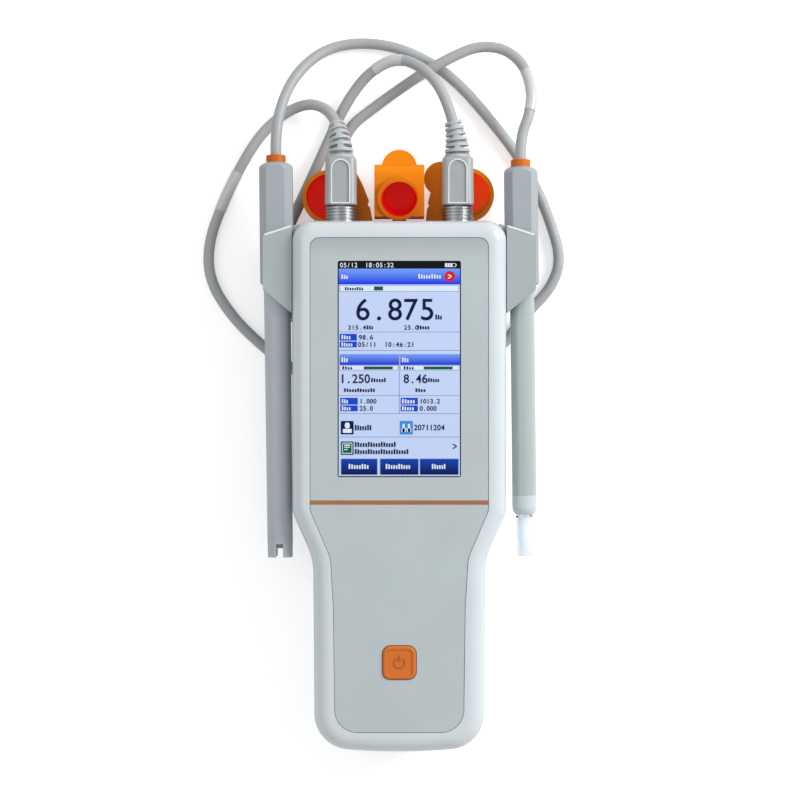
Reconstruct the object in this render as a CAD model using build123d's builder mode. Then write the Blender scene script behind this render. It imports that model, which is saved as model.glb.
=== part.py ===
from build123d import *
import math
import os

# Handheld water quality analyzer lying on its back: +X right, +Y towards its plugs, +Z out of the
# screen, the table at Z = 0, the origin under the middle of the instrument and its plugs.

# Heights above the table
front_z = 38.0
slab_back_z = 11.0
parting_z = 28.5
socket_z = 21.0
probe_z = 22.5

# Case outline
case_length = 236.0
head_width = 95.2
head_length = 129.5
shoulder_length = 21.0
grip_width = 76.6
grip_end_width = 75.4
head_corner = 9.0
shoulder_corner = 14.0
grip_corner = 30.0
tail_corner = 16.0
tail_bulge = 2.6
rear_inset = 3.0
crown_radius = 7.0
back_radius = 5.0
wall = 2.6
front_floor = 2.2

# Panels let into the front
panel_recess = 1.3
panel_thickness = 1.1
panel_gap = 0.15
upper_panel_width = 78.8
upper_panel_length = 116.2
upper_panel_corner = 4.0
upper_panel_drop = 8.0
stripe_width = 1.65
lower_panel_shoulder_width = 60.8
lower_panel_waist_width = 58.2
lower_panel_end_width = 56.8
lower_panel_length = 100.7
lower_panel_corner = 10.0

# Screen
window_width = 54.3
window_length = 95.4
window_drop = 18.3
lens_thickness = 1.0
lens_corner = 1.0
display_margin = 2.2
display_ledge = 3.0

# Power key
key_size = 14.8
key_corner = 3.5
key_up = 40.3
key_gap = 0.3
key_proud = 0.8
key_travel = 0.8
key_flange = 1.2
key_flange_thickness = 1.0
key_dish_depth = 0.45
key_rim = 1.5

# Inside
board_width = 56.0
board_thickness = 1.6
board_top_z = 29.6
board_drop = 7.5
board_length = 205.0
post_radius = 2.6
post_inset = 4.0
screw_radius = 1.5
screw_head_radius = 2.8
screw_head_height = 1.8
screw_clearance = 0.05
pillar_radius = 3.4
case_screw_edge = 7.0
screw_seat_z = 20.0
case_screw_length = 12.5
board_screw_head = 2.1
board_screw_depth = 4.0
chip_size = 12.0
chip_height = 1.4
switch_size = 6.0
switch_height = 2.0
switch_clear = 0.2
key_dome_radius = 6.4
key_dome_gap = 0.05
seal_width = 1.2
seal_depth = 1.0
seal_inset = 0.7
fit_gap = 0.1

# Battery hump, ridge and feet on the back
hump_width = 68.0
hump_length = 90.0
hump_up = 16.5
hump_corner = 8.0
hump_draft = 8.0
skin_z = 1.0
ridge_width = 30.0
ridge_length = 26.0
ridge_drop = 6.0
ridge_corner = 5.0
cell_radius = 7.2
cell_length = 49.0
cell_nub_radius = 2.7
cell_nub_height = 1.2
cell_pitch = 14.7
cell_count = 4
cell_gap = 0.6
soft_gap = 0.3
cover_length = 72.0
cover_shift = 3.0
cover_gap = 0.15
cover_screw_inset = 4.5
cover_screw_offset = 20.0
cover_screw_head = 2.2
cover_screw_depth = 7.0
cover_rib_inset = 9.0
cover_rib_pitch = 2.4
cover_rib_count = 4
cover_rib_length = 22.0
cover_rib_width = 1.2
cover_rib_depth = 0.5
cover_side_ledge = 2.0
cover_thickness = 2.2
contact_thickness = 0.6
contact_bump = 0.6
contact_height = 12.0
bay_wall = 2.0
battery_seal_width = 0.9
battery_seal_inset = 0.5
foot_radius = 4.0
foot_height = 1.6
hump_foot_offset = 24.0
hump_foot_inset = 7.3
ridge_foot_offset = 9.5

# Sockets and plugs on the head's top face
socket_offset = 26.2
socket_radius = 7.1
socket_bore = 5.0
socket_out = 10.2
socket_wall = 0.1
socket_neck_radius = 6.0
socket_nut_flats = 13.0
socket_nut_thickness = 2.5
socket_pin_radius = 3.5
plug_gap = 0.4
plug_width = 14.4
plug_taper_width = 13.8
plug_height = 13.6
plug_corner = 3.2
plug_length = 21.6
plug_panel_width = 8.5
plug_panel_depth = 0.6
plug_panel_inset = 1.2
plug_nose_radius = 4.95
plug_nose_length = 9.0
boot_base_radius = 5.9
boot_end_radius = 3.7
boot_core_radius = 2.9
boot_length = 16.4
boot_rows = 7
boot_rib = 1.25
boot_lean = {-1: 18.0, 1: 15.0}
boot_droop = {-1: 35.0, 1: 2.0}
boot_web = 1.3
boot_web_inset = 0.6

# Probes beside the head
probe_offset = 54.95
probe_pivot_drop = 15.4
probe_lean = 0.65
holder_boss = 4.0
handle_width = 14.7
handle_chamfer = 3.25
handle_foot_drop = 12.4
left_handle_length = 51.0
right_handle_length = 49.0
neck_radius = 4.3
shoulder_rise = 3.7
collar_radius = 4.4
collar_length = 3.3
shaft_insert = 10.0
shaft_fit = 0.05
shaft_clear = 0.25
left_shaft_radius = 6.0
left_shaft_tip_radius = 5.7
left_shaft_length = 111.5
guard_length = 10.8
guard_wall = 1.1
guard_slots = 4
guard_slot_width = 3.0
guard_slot_depth = 6.0
right_shaft_radius = 5.45
right_shaft_length = 94.7
tip_cap_radius = 5.5
tip_cap_length = 5.3
tip_cap_dome = 3.2
cell_tube_radius = 4.0
cell_tube_bore = 3.0
cell_tube_length = 22.6
cell_tube_inset = 3.2
electrode_radius = 0.6
electrode_count = 3
electrode_start = 4.0
electrode_pitch = 3.4
electrode_width = 1.2

# Probe holders
holder_plate = 2.2
holder_reach = 60.7
holder_gap = 0.3
holder_side_gap = 0.45
holder_web_gap = 0.1
holder_frame_gap = 0.2
holder_screw_head = 2.8
holder_screw_sink = 1.4
ledge_gap = 0.2
holder_top_drop = 1.0
holder_top_slope = 4.8
holder_low_drop = 43.4
holder_low_slope = 12.4

# Silicone dust caps
cup_radius = 12.2
cup_bore = 10.4
cup_depth = 6.0
cup_floor = 1.6
cup_spots = {-1: (31.9, 15.4), 1: (30.8, 16.4)}
strap_edges = {
    -1: [(20.2, 28.0), (16.5, 20.6), (13.8, 13.8), (14.3, 11.8), (13.2, 10.4)],
    1: [(18.5, 27.3), (16.7, 24.4), (14.0, 16.9), (13.0, 12.7), (13.5, 11.4), (12.6, 10.0)],
}
tab_spot = (18.9, 23.7)
strap_thickness = 2.0
strap_clear = 0.6
strap_inner_x = 11.7
strap_outer_x = 18.8
hinge_out = 2.3
hinge_gap = 0.3
tab_radius = 7.7
anchor_radius = 2.0
centre_cap_width = 22.4
centre_cap_length = 23.8
centre_cap_height = 14.5
centre_cap_base_gap = 2.4
centre_cap_base_z = 11.9
centre_cap_fold = 5.6
centre_cup_radius = 9.6
centre_cup_bore = 7.7
centre_cup_rise = 2.4
centre_cup_depth = 7.6
centre_cup_tilt = 14.0
centre_cup_drop = 15.6
pull_tab_radius = 7.9
pull_tab_thickness = 3.0
pull_tab_z = 18.0
pull_tab_sink = 1.2
port_z = 16.6
port_radius = 3.1
port_reach = 7.6
port_gap = 0.15
port_flange = 1.6

# Cords
cord_diameter = 4.9

# Places worked out from the sizes above
centre_cap_out = centre_cap_base_gap + centre_cap_length - pull_tab_sink
case_bottom_y = -(case_length + centre_cap_out + pull_tab_radius) / 2
case_top_y = case_bottom_y + case_length
rear_top_y = case_top_y - rear_inset
plug_y = rear_top_y + socket_out + plug_gap
boot_y = plug_y + plug_length
shoulder_y = case_top_y - head_length
grip_y = shoulder_y - shoulder_length
panel_top_y = case_top_y - upper_panel_drop
stripe_top_y = panel_top_y - upper_panel_length
stripe_low_y = stripe_top_y - stripe_width
panel_low_y = stripe_low_y - lower_panel_length
panel_seat_z = front_z - panel_recess
floor_z = panel_seat_z - front_floor
window_y = case_top_y - window_drop - window_length / 2
key_y = case_bottom_y + key_up
board_y = case_top_y - board_drop - board_length / 2
hump_y = case_bottom_y + hump_up + hump_length / 2
ridge_y = rear_top_y - ridge_drop - ridge_length / 2
bay_width = cell_count * cell_pitch + cell_gap
bay_length = cell_length + cell_nub_height + 2 * (contact_thickness + contact_bump + cell_gap / 2)
cover_width = bay_width + 2 * cover_side_ledge
cover_y = hump_y + cover_shift
cover_seat_z = skin_z + cover_thickness
cell_z = cover_seat_z + soft_gap + cell_radius
bay_top_z = cell_z + cell_radius + cell_gap
probe_pivot_y = case_top_y - probe_pivot_drop
rear_half_width = head_width / 2 - rear_inset
anchor_x = (strap_inner_x + strap_outer_x) / 2
hinge_y = rear_top_y + hinge_out
handle_foot = -handle_foot_drop
strap_z = socket_z - plug_height / 2 - strap_clear - strap_thickness
anchor_z = strap_z + strap_thickness / 2
holder_screw_spots = [(probe_pivot_y - 5.8, probe_z), (probe_pivot_y - 22.8, probe_z)]
cover_screw_spots = [
    (sign * cover_screw_offset, cover_y - cover_length / 2 + cover_screw_inset) for sign in (-1, 1)
]
foot_spots = [
    (sign * x, y)
    for sign in (-1, 1)
    for x, y in (
        (hump_foot_offset, hump_y - hump_length / 2 + hump_foot_inset),
        (ridge_foot_offset, ridge_y),
    )
]
screw_spots = [
    (sign * half, y)
    for sign in (-1, 1)
    for half, y in (
        (head_width / 2 - case_screw_edge, rear_top_y - case_screw_edge - 1.5),
        (head_width / 2 - case_screw_edge, shoulder_y + case_screw_edge),
        (grip_end_width / 2 - case_screw_edge - 2.5, case_bottom_y + case_screw_edge + 4.5),
    )
]
post_spots = [
    (sign * (board_width / 2 - post_inset), y)
    for sign in (-1, 1)
    for y in (board_y + board_length / 2 - post_inset, stripe_low_y, board_y - board_length / 2 + post_inset)
]

os.makedirs("parts", exist_ok=True)


def keep(name, part):
    part.label = name
    export_step(part, f"parts/{name}.step")


def case_face(inset):
    """The case's outline, drawn inwards by inset."""
    with BuildSketch() as face:
        with BuildLine() as edge:
            start = (0, case_top_y)
            Polyline(
                start,
                (head_width / 2, case_top_y),
                (head_width / 2, shoulder_y),
                (grip_width / 2, grip_y),
                (grip_end_width / 2, case_bottom_y + tail_bulge),
            )
            ThreePointArc(
                (grip_end_width / 2, case_bottom_y + tail_bulge),
                (0, case_bottom_y),
                (-grip_end_width / 2, case_bottom_y + tail_bulge),
            )
            Polyline(
                (-grip_end_width / 2, case_bottom_y + tail_bulge),
                (-grip_width / 2, grip_y),
                (-head_width / 2, shoulder_y),
                (-head_width / 2, case_top_y),
                start,
            )
        make_face()
        corners = face.vertices().group_by(Axis.Y)
        fillet(corners[0], tail_corner)
        corners = [v for v in face.vertices() if abs(v.Y - grip_y) < 1]
        fillet(corners, grip_corner)
        corners = [v for v in face.vertices() if abs(v.Y - shoulder_y) < 1]
        fillet(corners, shoulder_corner)
        corners = [v for v in face.vertices() if abs(v.Y - case_top_y) < 1 and abs(v.X) > 1]
        fillet(corners, head_corner)
        if inset:
            offset(amount=-inset, kind=Kind.INTERSECTION)
    return face.sketch


def upper_panel_face(gap):
    """The plate round the screen, grown by gap."""
    with BuildSketch() as face:
        with Locations((0, panel_top_y - upper_panel_length / 2)):
            Rectangle(upper_panel_width, upper_panel_length)
        fillet(face.vertices().group_by(Axis.Y)[-1], upper_panel_corner)
        if gap:
            offset(amount=gap, kind=Kind.INTERSECTION)
    return face.sketch


def lower_panel_face(gap):
    """The plate down the grip, which follows the case's shoulders, grown by gap."""
    with BuildSketch() as face:
        with BuildLine() as half:
            Polyline(
                (0, panel_low_y),
                (lower_panel_end_width / 2, panel_low_y),
                (lower_panel_waist_width / 2, grip_y - shoulder_length),
                (lower_panel_shoulder_width / 2, grip_y + 1),
                (upper_panel_width / 2, shoulder_y + 1),
                (upper_panel_width / 2, stripe_low_y),
                (0, stripe_low_y),
            )
            mirror(about=Plane.YZ)
        make_face()
        fillet(face.vertices().group_by(Axis.Y)[0], lower_panel_corner)
        fillet([v for v in face.vertices() if abs(v.Y - shoulder_y - 1) < 0.5], 5)
        fillet([v for v in face.vertices() if abs(v.Y - grip_y - 1) < 0.5], 16)
        if gap:
            offset(amount=gap, kind=Kind.INTERSECTION)
    return face.sketch


def seal_face(gap):
    """The ring of the case gasket, wider by gap on each side."""
    with BuildSketch() as ring:
        add(case_face(rear_inset + seal_inset - gap))
        add(case_face(rear_inset + seal_inset + seal_width + gap), mode=Mode.SUBTRACT)
    return ring.sketch


def battery_seal_face(gap):
    """The ring of the battery gasket round the bay, wider by gap on each side."""
    inner = battery_seal_inset - gap
    outer = battery_seal_inset + battery_seal_width + gap
    with BuildSketch() as ring:
        with Locations((0, cover_y)):
            Rectangle(bay_width + 2 * outer, bay_length + 2 * outer)
            Rectangle(bay_width + 2 * inner, bay_length + 2 * inner, mode=Mode.SUBTRACT)
    return ring.sketch


def facing_y(y):
    """A plane across the instrument at y, drawn in X and Z."""
    return Plane.XZ.offset(-y)


outline = case_face(0)
rear_outline = case_face(rear_inset)

# Front frame: a glossy shell with a rounded crown, floors for the two panels, and inside it the
# pillars that the case screws bite into and the posts that the board hangs on
with BuildPart() as front_frame:
    with BuildSketch(Plane.XY.offset(parting_z)):
        add(outline)
    extrude(amount=front_z - parting_z)
    fillet(front_frame.faces().sort_by(Axis.Z)[-1].outer_wire().edges(), crown_radius)
    with BuildSketch(Plane.XY.offset(panel_seat_z)):
        add(upper_panel_face(panel_gap))
        add(lower_panel_face(panel_gap))
        with Locations((0, stripe_top_y - stripe_width / 2)):
            Rectangle(upper_panel_width + 2 * panel_gap, stripe_width + 1)
    extrude(amount=panel_recess, mode=Mode.SUBTRACT)
    with BuildSketch(Plane.XY.offset(parting_z)):
        add(rear_outline)
        offset(amount=-wall, kind=Kind.INTERSECTION)
    extrude(amount=floor_z - parting_z, mode=Mode.SUBTRACT)
    with BuildSketch(Plane.XY.offset(floor_z)):
        with Locations((0, window_y)):
            Rectangle(window_width - display_margin * 2, window_length - display_margin * 2)
        with Locations((0, key_y)):
            RectangleRounded(key_size + 2 * key_gap, key_size + 2 * key_gap, key_corner + key_gap)
    extrude(amount=front_floor, mode=Mode.SUBTRACT)
    with BuildSketch(Plane.XY.offset(parting_z)):
        with Locations(screw_spots):
            Circle(pillar_radius)
    extrude(amount=floor_z - parting_z)
    with BuildSketch(Plane.XY.offset(board_top_z)):
        with Locations(post_spots):
            Circle(post_radius)
    extrude(amount=floor_z - board_top_z)
    with BuildSketch(Plane.XY.offset(parting_z)):
        with Locations(screw_spots):
            Circle(screw_radius + screw_clearance)
    extrude(amount=floor_z - parting_z - 0.6, mode=Mode.SUBTRACT)
    with BuildSketch(Plane.XY.offset(board_top_z)):
        with Locations(post_spots):
            Circle(screw_radius * 0.7 + screw_clearance)
    extrude(amount=4.2, mode=Mode.SUBTRACT)
keep("front_frame", front_frame.part)

# Rear case: a tub with a rounded back edge, the battery hump and the rest ridge under it, the
# battery bay, the pillars for the case screws, and the holes for sockets, port, anchors and holders
with BuildPart() as rear_case:
    with BuildSketch(Plane.XY.offset(slab_back_z)):
        add(rear_outline)
    extrude(amount=parting_z - slab_back_z)
    fillet(rear_case.faces().sort_by(Axis.Z)[0].outer_wire().edges(), back_radius)
    with BuildSketch(Plane.XY.offset(slab_back_z + wall)):
        add(case_face(rear_inset + wall))
    extrude(amount=parting_z - slab_back_z - wall, mode=Mode.SUBTRACT)
    with BuildSketch(Plane.XY.offset(slab_back_z + wall)):
        with Locations((0, hump_y)):
            RectangleRounded(hump_width, hump_length, hump_corner)
    extrude(amount=skin_z - slab_back_z - wall, taper=hump_draft)
    with BuildSketch(Plane.XY.offset(slab_back_z + wall)):
        with Locations((0, ridge_y)):
            RectangleRounded(ridge_width, ridge_length, ridge_corner)
    extrude(amount=skin_z - slab_back_z - wall, taper=hump_draft)
    with BuildSketch(Plane.XY.offset(slab_back_z + wall)):
        with Locations((0, cover_y)):
            Rectangle(bay_width + 2 * bay_wall, bay_length + 2 * bay_wall)
    extrude(amount=bay_top_z + bay_wall - slab_back_z - wall)
    with BuildSketch(Plane.XY.offset(skin_z)):
        with Locations((0, cover_y)):
            RectangleRounded(cover_width + 2 * cover_gap, cover_length + 2 * cover_gap, ridge_corner)
    extrude(amount=cover_thickness, mode=Mode.SUBTRACT)
    with BuildSketch(Plane.XY.offset(cover_seat_z)):
        with Locations((0, cover_y)):
            Rectangle(bay_width, bay_length)
    extrude(amount=bay_top_z - cover_seat_z, mode=Mode.SUBTRACT)
    with BuildSketch(Plane.XY.offset(cover_seat_z)):
        add(battery_seal_face(fit_gap / 2))
    extrude(amount=seal_depth, mode=Mode.SUBTRACT)
    with BuildSketch(Plane.XY.offset(cover_seat_z)):
        with Locations(cover_screw_spots):
            Circle(screw_radius * 0.7 + screw_clearance)
    extrude(amount=cover_screw_depth, mode=Mode.SUBTRACT)
    with BuildSketch(Plane.XY.offset(skin_z)):
        with Locations(foot_spots):
            Circle(foot_radius + fit_gap)
    extrude(amount=foot_height - skin_z, mode=Mode.SUBTRACT)
    with BuildSketch(Plane.XY.offset(skin_z + wall)):
        with Locations((0, ridge_y)):
            RectangleRounded(ridge_width - 3 * wall, ridge_length - 3 * wall, ridge_corner - wall)
    extrude(amount=slab_back_z - skin_z, mode=Mode.SUBTRACT)
    with BuildSketch(Plane.XY.offset(slab_back_z)):
        with Locations(screw_spots):
            Circle(pillar_radius)
    extrude(amount=parting_z - slab_back_z)
    with BuildSketch(Plane.XY.offset(slab_back_z)):
        with Locations(screw_spots):
            Circle(screw_head_radius + fit_gap)
    extrude(amount=screw_seat_z - slab_back_z, mode=Mode.SUBTRACT)
    with BuildSketch(Plane.XY.offset(screw_seat_z)):
        with Locations(screw_spots):
            Circle(screw_radius + fit_gap)
    extrude(amount=parting_z - screw_seat_z, mode=Mode.SUBTRACT)
    with BuildSketch(Plane.XY.offset(parting_z - seal_depth)):
        add(seal_face(fit_gap / 2))
    extrude(amount=seal_depth, mode=Mode.SUBTRACT)
    with BuildSketch(Plane.XY.offset(slab_back_z)):
        with Locations((-anchor_x, rear_top_y - back_radius / 2), (anchor_x, rear_top_y - back_radius / 2)):
            Rectangle(strap_outer_x - strap_inner_x + 1, back_radius)
    extrude(amount=back_radius)
    with BuildSketch(facing_y(rear_top_y - wall)):
        with Locations((-socket_offset, socket_z), (socket_offset, socket_z)):
            Circle(socket_neck_radius + socket_wall)
        with Locations((0, port_z)):
            Circle(port_radius + fit_gap / 2)
        with Locations((-anchor_x, anchor_z), (anchor_x, anchor_z)):
            Circle(anchor_radius + fit_gap / 2)
    extrude(amount=wall, dir=(0, 1, 0), mode=Mode.SUBTRACT)
    with BuildSketch(Plane.YZ.offset(rear_half_width - wall - holder_boss)):
        with Locations(*holder_screw_spots):
            Circle(pillar_radius)
    extrude(amount=holder_boss + wall / 2)
    mirror(about=Plane.YZ)
    with BuildSketch(Plane.YZ.offset(rear_half_width - wall - holder_boss)):
        with Locations(*holder_screw_spots):
            Circle(screw_radius + screw_clearance)
    extrude(amount=holder_boss + wall, mode=Mode.SUBTRACT)
    with BuildSketch(Plane.YZ.offset(wall + holder_boss - rear_half_width)):
        with Locations(*holder_screw_spots):
            Circle(screw_radius + screw_clearance)
    extrude(amount=-holder_boss - wall, mode=Mode.SUBTRACT)
keep("rear_case", rear_case.part)

# Gasket between the two halves of the case
with BuildPart() as case_seal:
    with BuildSketch(Plane.XY.offset(parting_z - seal_depth)):
        add(seal_face(0))
    extrude(amount=seal_depth)
keep("case_seal", case_seal.part)

# Screws put in from the back
with BuildPart() as case_screws:
    with BuildSketch(Plane.XY.offset(screw_seat_z - screw_head_height)):
        with Locations(screw_spots):
            Circle(screw_head_radius)
            Circle(screw_head_radius / 3, mode=Mode.SUBTRACT)
    extrude(amount=screw_head_height)
    with BuildSketch(Plane.XY.offset(screw_seat_z - screw_head_height / 2)):
        with Locations(screw_spots):
            Circle(screw_radius)
    extrude(amount=case_screw_length)
keep("case_screws", case_screws.part)

# Battery cover: a plate let into the hump, with finger ribs and two countersunk screws
with BuildPart() as battery_cover:
    with BuildSketch(Plane.XY.offset(skin_z)):
        with Locations((0, cover_y)):
            RectangleRounded(cover_width, cover_length, ridge_corner - cover_gap)
    extrude(amount=cover_thickness)
    chamfer(battery_cover.faces().sort_by(Axis.Z)[0].outer_wire().edges(), 0.5)
    with BuildSketch(Plane.XY.offset(skin_z)):
        with Locations((0, cover_y + cover_length / 2 - cover_rib_inset)):
            with GridLocations(0, cover_rib_pitch, 1, cover_rib_count):
                SlotOverall(cover_rib_length, cover_rib_width)
    extrude(amount=cover_rib_depth, mode=Mode.SUBTRACT)
    with Locations(*[(x, y, skin_z) for x, y in cover_screw_spots]):
        with Locations(Rotation(180, 0, 0)):
            CounterSinkHole(screw_radius * 0.7 + fit_gap, cover_screw_head + fit_gap, cover_thickness)
keep("battery_cover", battery_cover.part)

cover_screw_shank = screw_radius * 0.7
with BuildPart() as cover_screws:
    with BuildSketch(Plane.XZ) as screw_half:
        with BuildLine():
            Polyline(
                (0, 0),
                (cover_screw_head, 0),
                (cover_screw_shank, cover_screw_head - cover_screw_shank),
                (cover_screw_shank, cover_thickness + cover_screw_depth - 1),
                (0, cover_thickness + cover_screw_depth - 1),
                close=True,
            )
        make_face()
    cover_screw = revolve(screw_half.sketch, axis=Axis.Z, mode=Mode.PRIVATE)
    with Locations(*[(x, y, skin_z + 0.1) for x, y in cover_screw_spots]):
        add(cover_screw)
keep("cover_screws", cover_screws.part)

with BuildPart() as battery_seal:
    with BuildSketch(Plane.XY.offset(cover_seat_z)):
        add(battery_seal_face(0))
    extrude(amount=seal_depth)
keep("battery_seal", battery_seal.part)

# Four cells side by side, alternately turned, and the two contact plates that they press on
with BuildPart() as battery_cells:
    for number in range(cell_count):
        way = 1 if number % 2 else -1
        x = (number - (cell_count - 1) / 2) * cell_pitch
        with BuildSketch(facing_y(cover_y - cell_length / 2 - way * cell_nub_height / 2)):
            with Locations((x, cell_z)):
                Circle(cell_radius)
        extrude(amount=cell_length, dir=(0, 1, 0))
        nub_y = cover_y + way * (cell_length - cell_nub_height) / 2
        with BuildSketch(facing_y(nub_y)):
            with Locations((x, cell_z)):
                Circle(cell_nub_radius)
        extrude(amount=cell_nub_height, dir=(0, way, 0))
keep("battery_cells", battery_cells.part)

with BuildPart() as battery_contacts:
    for way in (-1, 1):
        with BuildSketch(facing_y(cover_y + way * bay_length / 2)):
            with Locations((0, cell_z)):
                RectangleRounded(bay_width - cell_gap, contact_height, 1)
        extrude(amount=contact_thickness, dir=(0, -way, 0))
        with BuildSketch(facing_y(cover_y + way * (bay_length / 2 - contact_thickness))):
            with Locations((0, cell_z)):
                with GridLocations(cell_pitch, 0, cell_count, 1):
                    Circle(cell_nub_radius)
        extrude(amount=contact_bump, dir=(0, -way, 0), taper=20)
keep("battery_contacts", battery_contacts.part)

# Soft feet that the instrument lies on
with BuildPart() as rubber_feet:
    with BuildSketch():
        with Locations(foot_spots):
            Circle(foot_radius)
    extrude(amount=foot_height)
    chamfer(rubber_feet.edges().group_by(Axis.Z)[0], 0.4)
keep("rubber_feet", rubber_feet.part)

# Plates let into the front, with the copper strip between them
with BuildPart() as upper_panel:
    with BuildSketch(Plane.XY.offset(panel_seat_z)):
        add(upper_panel_face(0))
        with Locations((0, window_y)):
            RectangleRounded(window_width + 2 * fit_gap, window_length + 2 * fit_gap, lens_corner, mode=Mode.SUBTRACT)
    extrude(amount=panel_thickness)
    chamfer(upper_panel.faces().sort_by(Axis.Z)[-1].outer_wire().edges(), 0.2)
keep("upper_panel", upper_panel.part)

with BuildPart() as lower_panel:
    with BuildSketch(Plane.XY.offset(panel_seat_z)):
        add(lower_panel_face(0))
        with Locations((0, key_y)):
            RectangleRounded(
                key_size + 2 * key_gap, key_size + 2 * key_gap, key_corner + key_gap, mode=Mode.SUBTRACT
            )
    extrude(amount=panel_thickness)
    chamfer(lower_panel.faces().sort_by(Axis.Z)[-1].outer_wire().edges(), 0.2)
keep("lower_panel", lower_panel.part)

with BuildPart() as accent_strip:
    with BuildSketch(Plane.XY.offset(panel_seat_z)):
        with Locations((0, stripe_top_y - stripe_width / 2)):
            Rectangle(upper_panel_width, stripe_width)
    extrude(amount=panel_thickness)
keep("accent_strip", accent_strip.part)

# Screen: a glass lens in the panel's window, and the display behind it on the board
with BuildPart() as screen_lens:
    with BuildSketch(Plane.XY.offset(panel_seat_z)):
        with Locations((0, window_y)):
            RectangleRounded(window_width, window_length, lens_corner)
    extrude(amount=lens_thickness)
keep("screen_lens", screen_lens.part)

with BuildPart() as display_module:
    with BuildSketch(Plane.XY.offset(board_top_z)):
        with Locations((0, window_y)):
            Rectangle(window_width + display_ledge, window_length + display_ledge)
    extrude(amount=floor_z - board_top_z - fit_gap)
    with BuildSketch(Plane.XY.offset(floor_z - fit_gap)):
        with Locations((0, window_y)):
            Rectangle(window_width - 3 * display_margin, window_length - 3 * display_margin)
    extrude(amount=front_floor)
keep("display_module", display_module.part)

# Circuit board, hung on the posts of the front frame
with BuildPart() as main_board:
    with BuildSketch(Plane.XY.offset(board_top_z - board_thickness)):
        with Locations((0, board_y)):
            RectangleRounded(board_width, board_length, 2)
        with Locations(post_spots):
            Circle(screw_radius * 0.7 + fit_gap, mode=Mode.SUBTRACT)
    extrude(amount=board_thickness)
    with BuildSketch(Plane.XY.offset(board_top_z - board_thickness)):
        with Locations((0, window_y)):
            Rectangle(chip_size, chip_size)
        with Locations((0, stripe_low_y)):
            Rectangle(chip_size * 1.6, chip_size / 2)
    extrude(amount=-chip_height)
keep("main_board", main_board.part)

with BuildPart() as board_screws:
    with BuildSketch(Plane.XY.offset(board_top_z - board_thickness)):
        with Locations(post_spots):
            Circle(board_screw_head)
    extrude(amount=-board_screw_head / 2)
    with BuildSketch(Plane.XY.offset(board_top_z - board_thickness)):
        with Locations(post_spots):
            Circle(screw_radius * 0.7)
    extrude(amount=board_thickness + board_screw_depth)
keep("board_screws", board_screws.part)

# Power key: a dished cap with a raised rim, a flange that stops it under the floor, the switch
# it presses, and the rubber dome that lifts it back
with BuildPart() as power_key:
    with BuildSketch(Plane.XY.offset(floor_z - fit_gap)):
        with Locations((0, key_y)):
            RectangleRounded(key_size, key_size, key_corner)
    extrude(amount=front_z + key_proud - floor_z + fit_gap)
    key_top = power_key.faces().sort_by(Axis.Z)[-1]
    chamfer(key_top.outer_wire().edges(), 0.8)
    with BuildSketch(Plane.XY.offset(front_z + key_proud)):
        with Locations((0, key_y)):
            RectangleRounded(key_size - 2 * key_rim, key_size - 2 * key_rim, key_corner - key_rim)
    extrude(amount=-key_dish_depth, taper=35, mode=Mode.SUBTRACT)
    with BuildSketch(Plane.XY.offset(floor_z - fit_gap)):
        with Locations((0, key_y)):
            RectangleRounded(key_size + 2 * key_flange, key_size + 2 * key_flange, key_corner + key_flange)
    extrude(amount=-key_flange_thickness)
keep("power_key", power_key.part)

key_bottom_z = floor_z - fit_gap - key_flange_thickness
with BuildPart() as key_switch:
    with BuildSketch(Plane.XY.offset(board_top_z)):
        with Locations((0, key_y)):
            Rectangle(switch_size, switch_size)
    extrude(amount=switch_height)
    with BuildSketch(Plane.XY.offset(board_top_z + switch_height)):
        with Locations((0, key_y)):
            Circle(switch_size / 4)
    extrude(amount=key_bottom_z - key_travel - switch_clear - board_top_z - switch_height)
keep("key_switch", key_switch.part)

with BuildPart() as key_spring:
    with BuildSketch(Plane.XZ) as dome_half:
        with BuildLine():
            Polyline(
                (key_dome_radius, board_top_z),
                (key_dome_radius + 1, board_top_z),
                (key_dome_radius - 0.4, key_bottom_z - key_dome_gap),
                (key_dome_radius - 1.4, key_bottom_z - key_dome_gap),
                close=True,
            )
        make_face()
    dome = revolve(dome_half.sketch, axis=Axis.Z, mode=Mode.PRIVATE)
    with Locations((0, key_y)):
        add(dome)
keep("key_spring", key_spring.part)

# Sockets through the head's top wall, each held by a nut inside, and the small port between them
for side, name in ((-1, "socket_left"), (1, "socket_right")):
    x = side * socket_offset
    with BuildPart() as socket:
        with BuildSketch(facing_y(rear_top_y)):
            with Locations((x, socket_z)):
                Circle(socket_radius)
        extrude(amount=socket_out, dir=(0, 1, 0))
        chamfer(socket.edges().group_by(Axis.Y)[-1], 0.5)
        with BuildSketch(facing_y(rear_top_y)):
            with Locations((x, socket_z)):
                Circle(socket_neck_radius)
        extrude(amount=wall + socket_nut_thickness + 1, dir=(0, -1, 0))
        with BuildSketch(facing_y(plug_y - plug_gap)):
            with Locations((x, socket_z)):
                Circle(socket_bore)
        extrude(amount=plug_nose_length + plug_gap, dir=(0, -1, 0), mode=Mode.SUBTRACT)
        with BuildSketch(facing_y(plug_y - 2 * plug_gap - plug_nose_length)):
            with Locations((x, socket_z)):
                Circle(socket_pin_radius)
        extrude(amount=plug_nose_length - 1, dir=(0, 1, 0))
    keep(name, socket.part)

with BuildPart() as socket_nuts:
    with BuildSketch(facing_y(rear_top_y - wall)):
        with Locations((-socket_offset, socket_z), (socket_offset, socket_z)):
            RegularPolygon(socket_nut_flats / 2, 6, major_radius=False)
            Circle(socket_neck_radius + fit_gap / 2, mode=Mode.SUBTRACT)
    extrude(amount=socket_nut_thickness, dir=(0, -1, 0))
keep("socket_nuts", socket_nuts.part)

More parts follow.
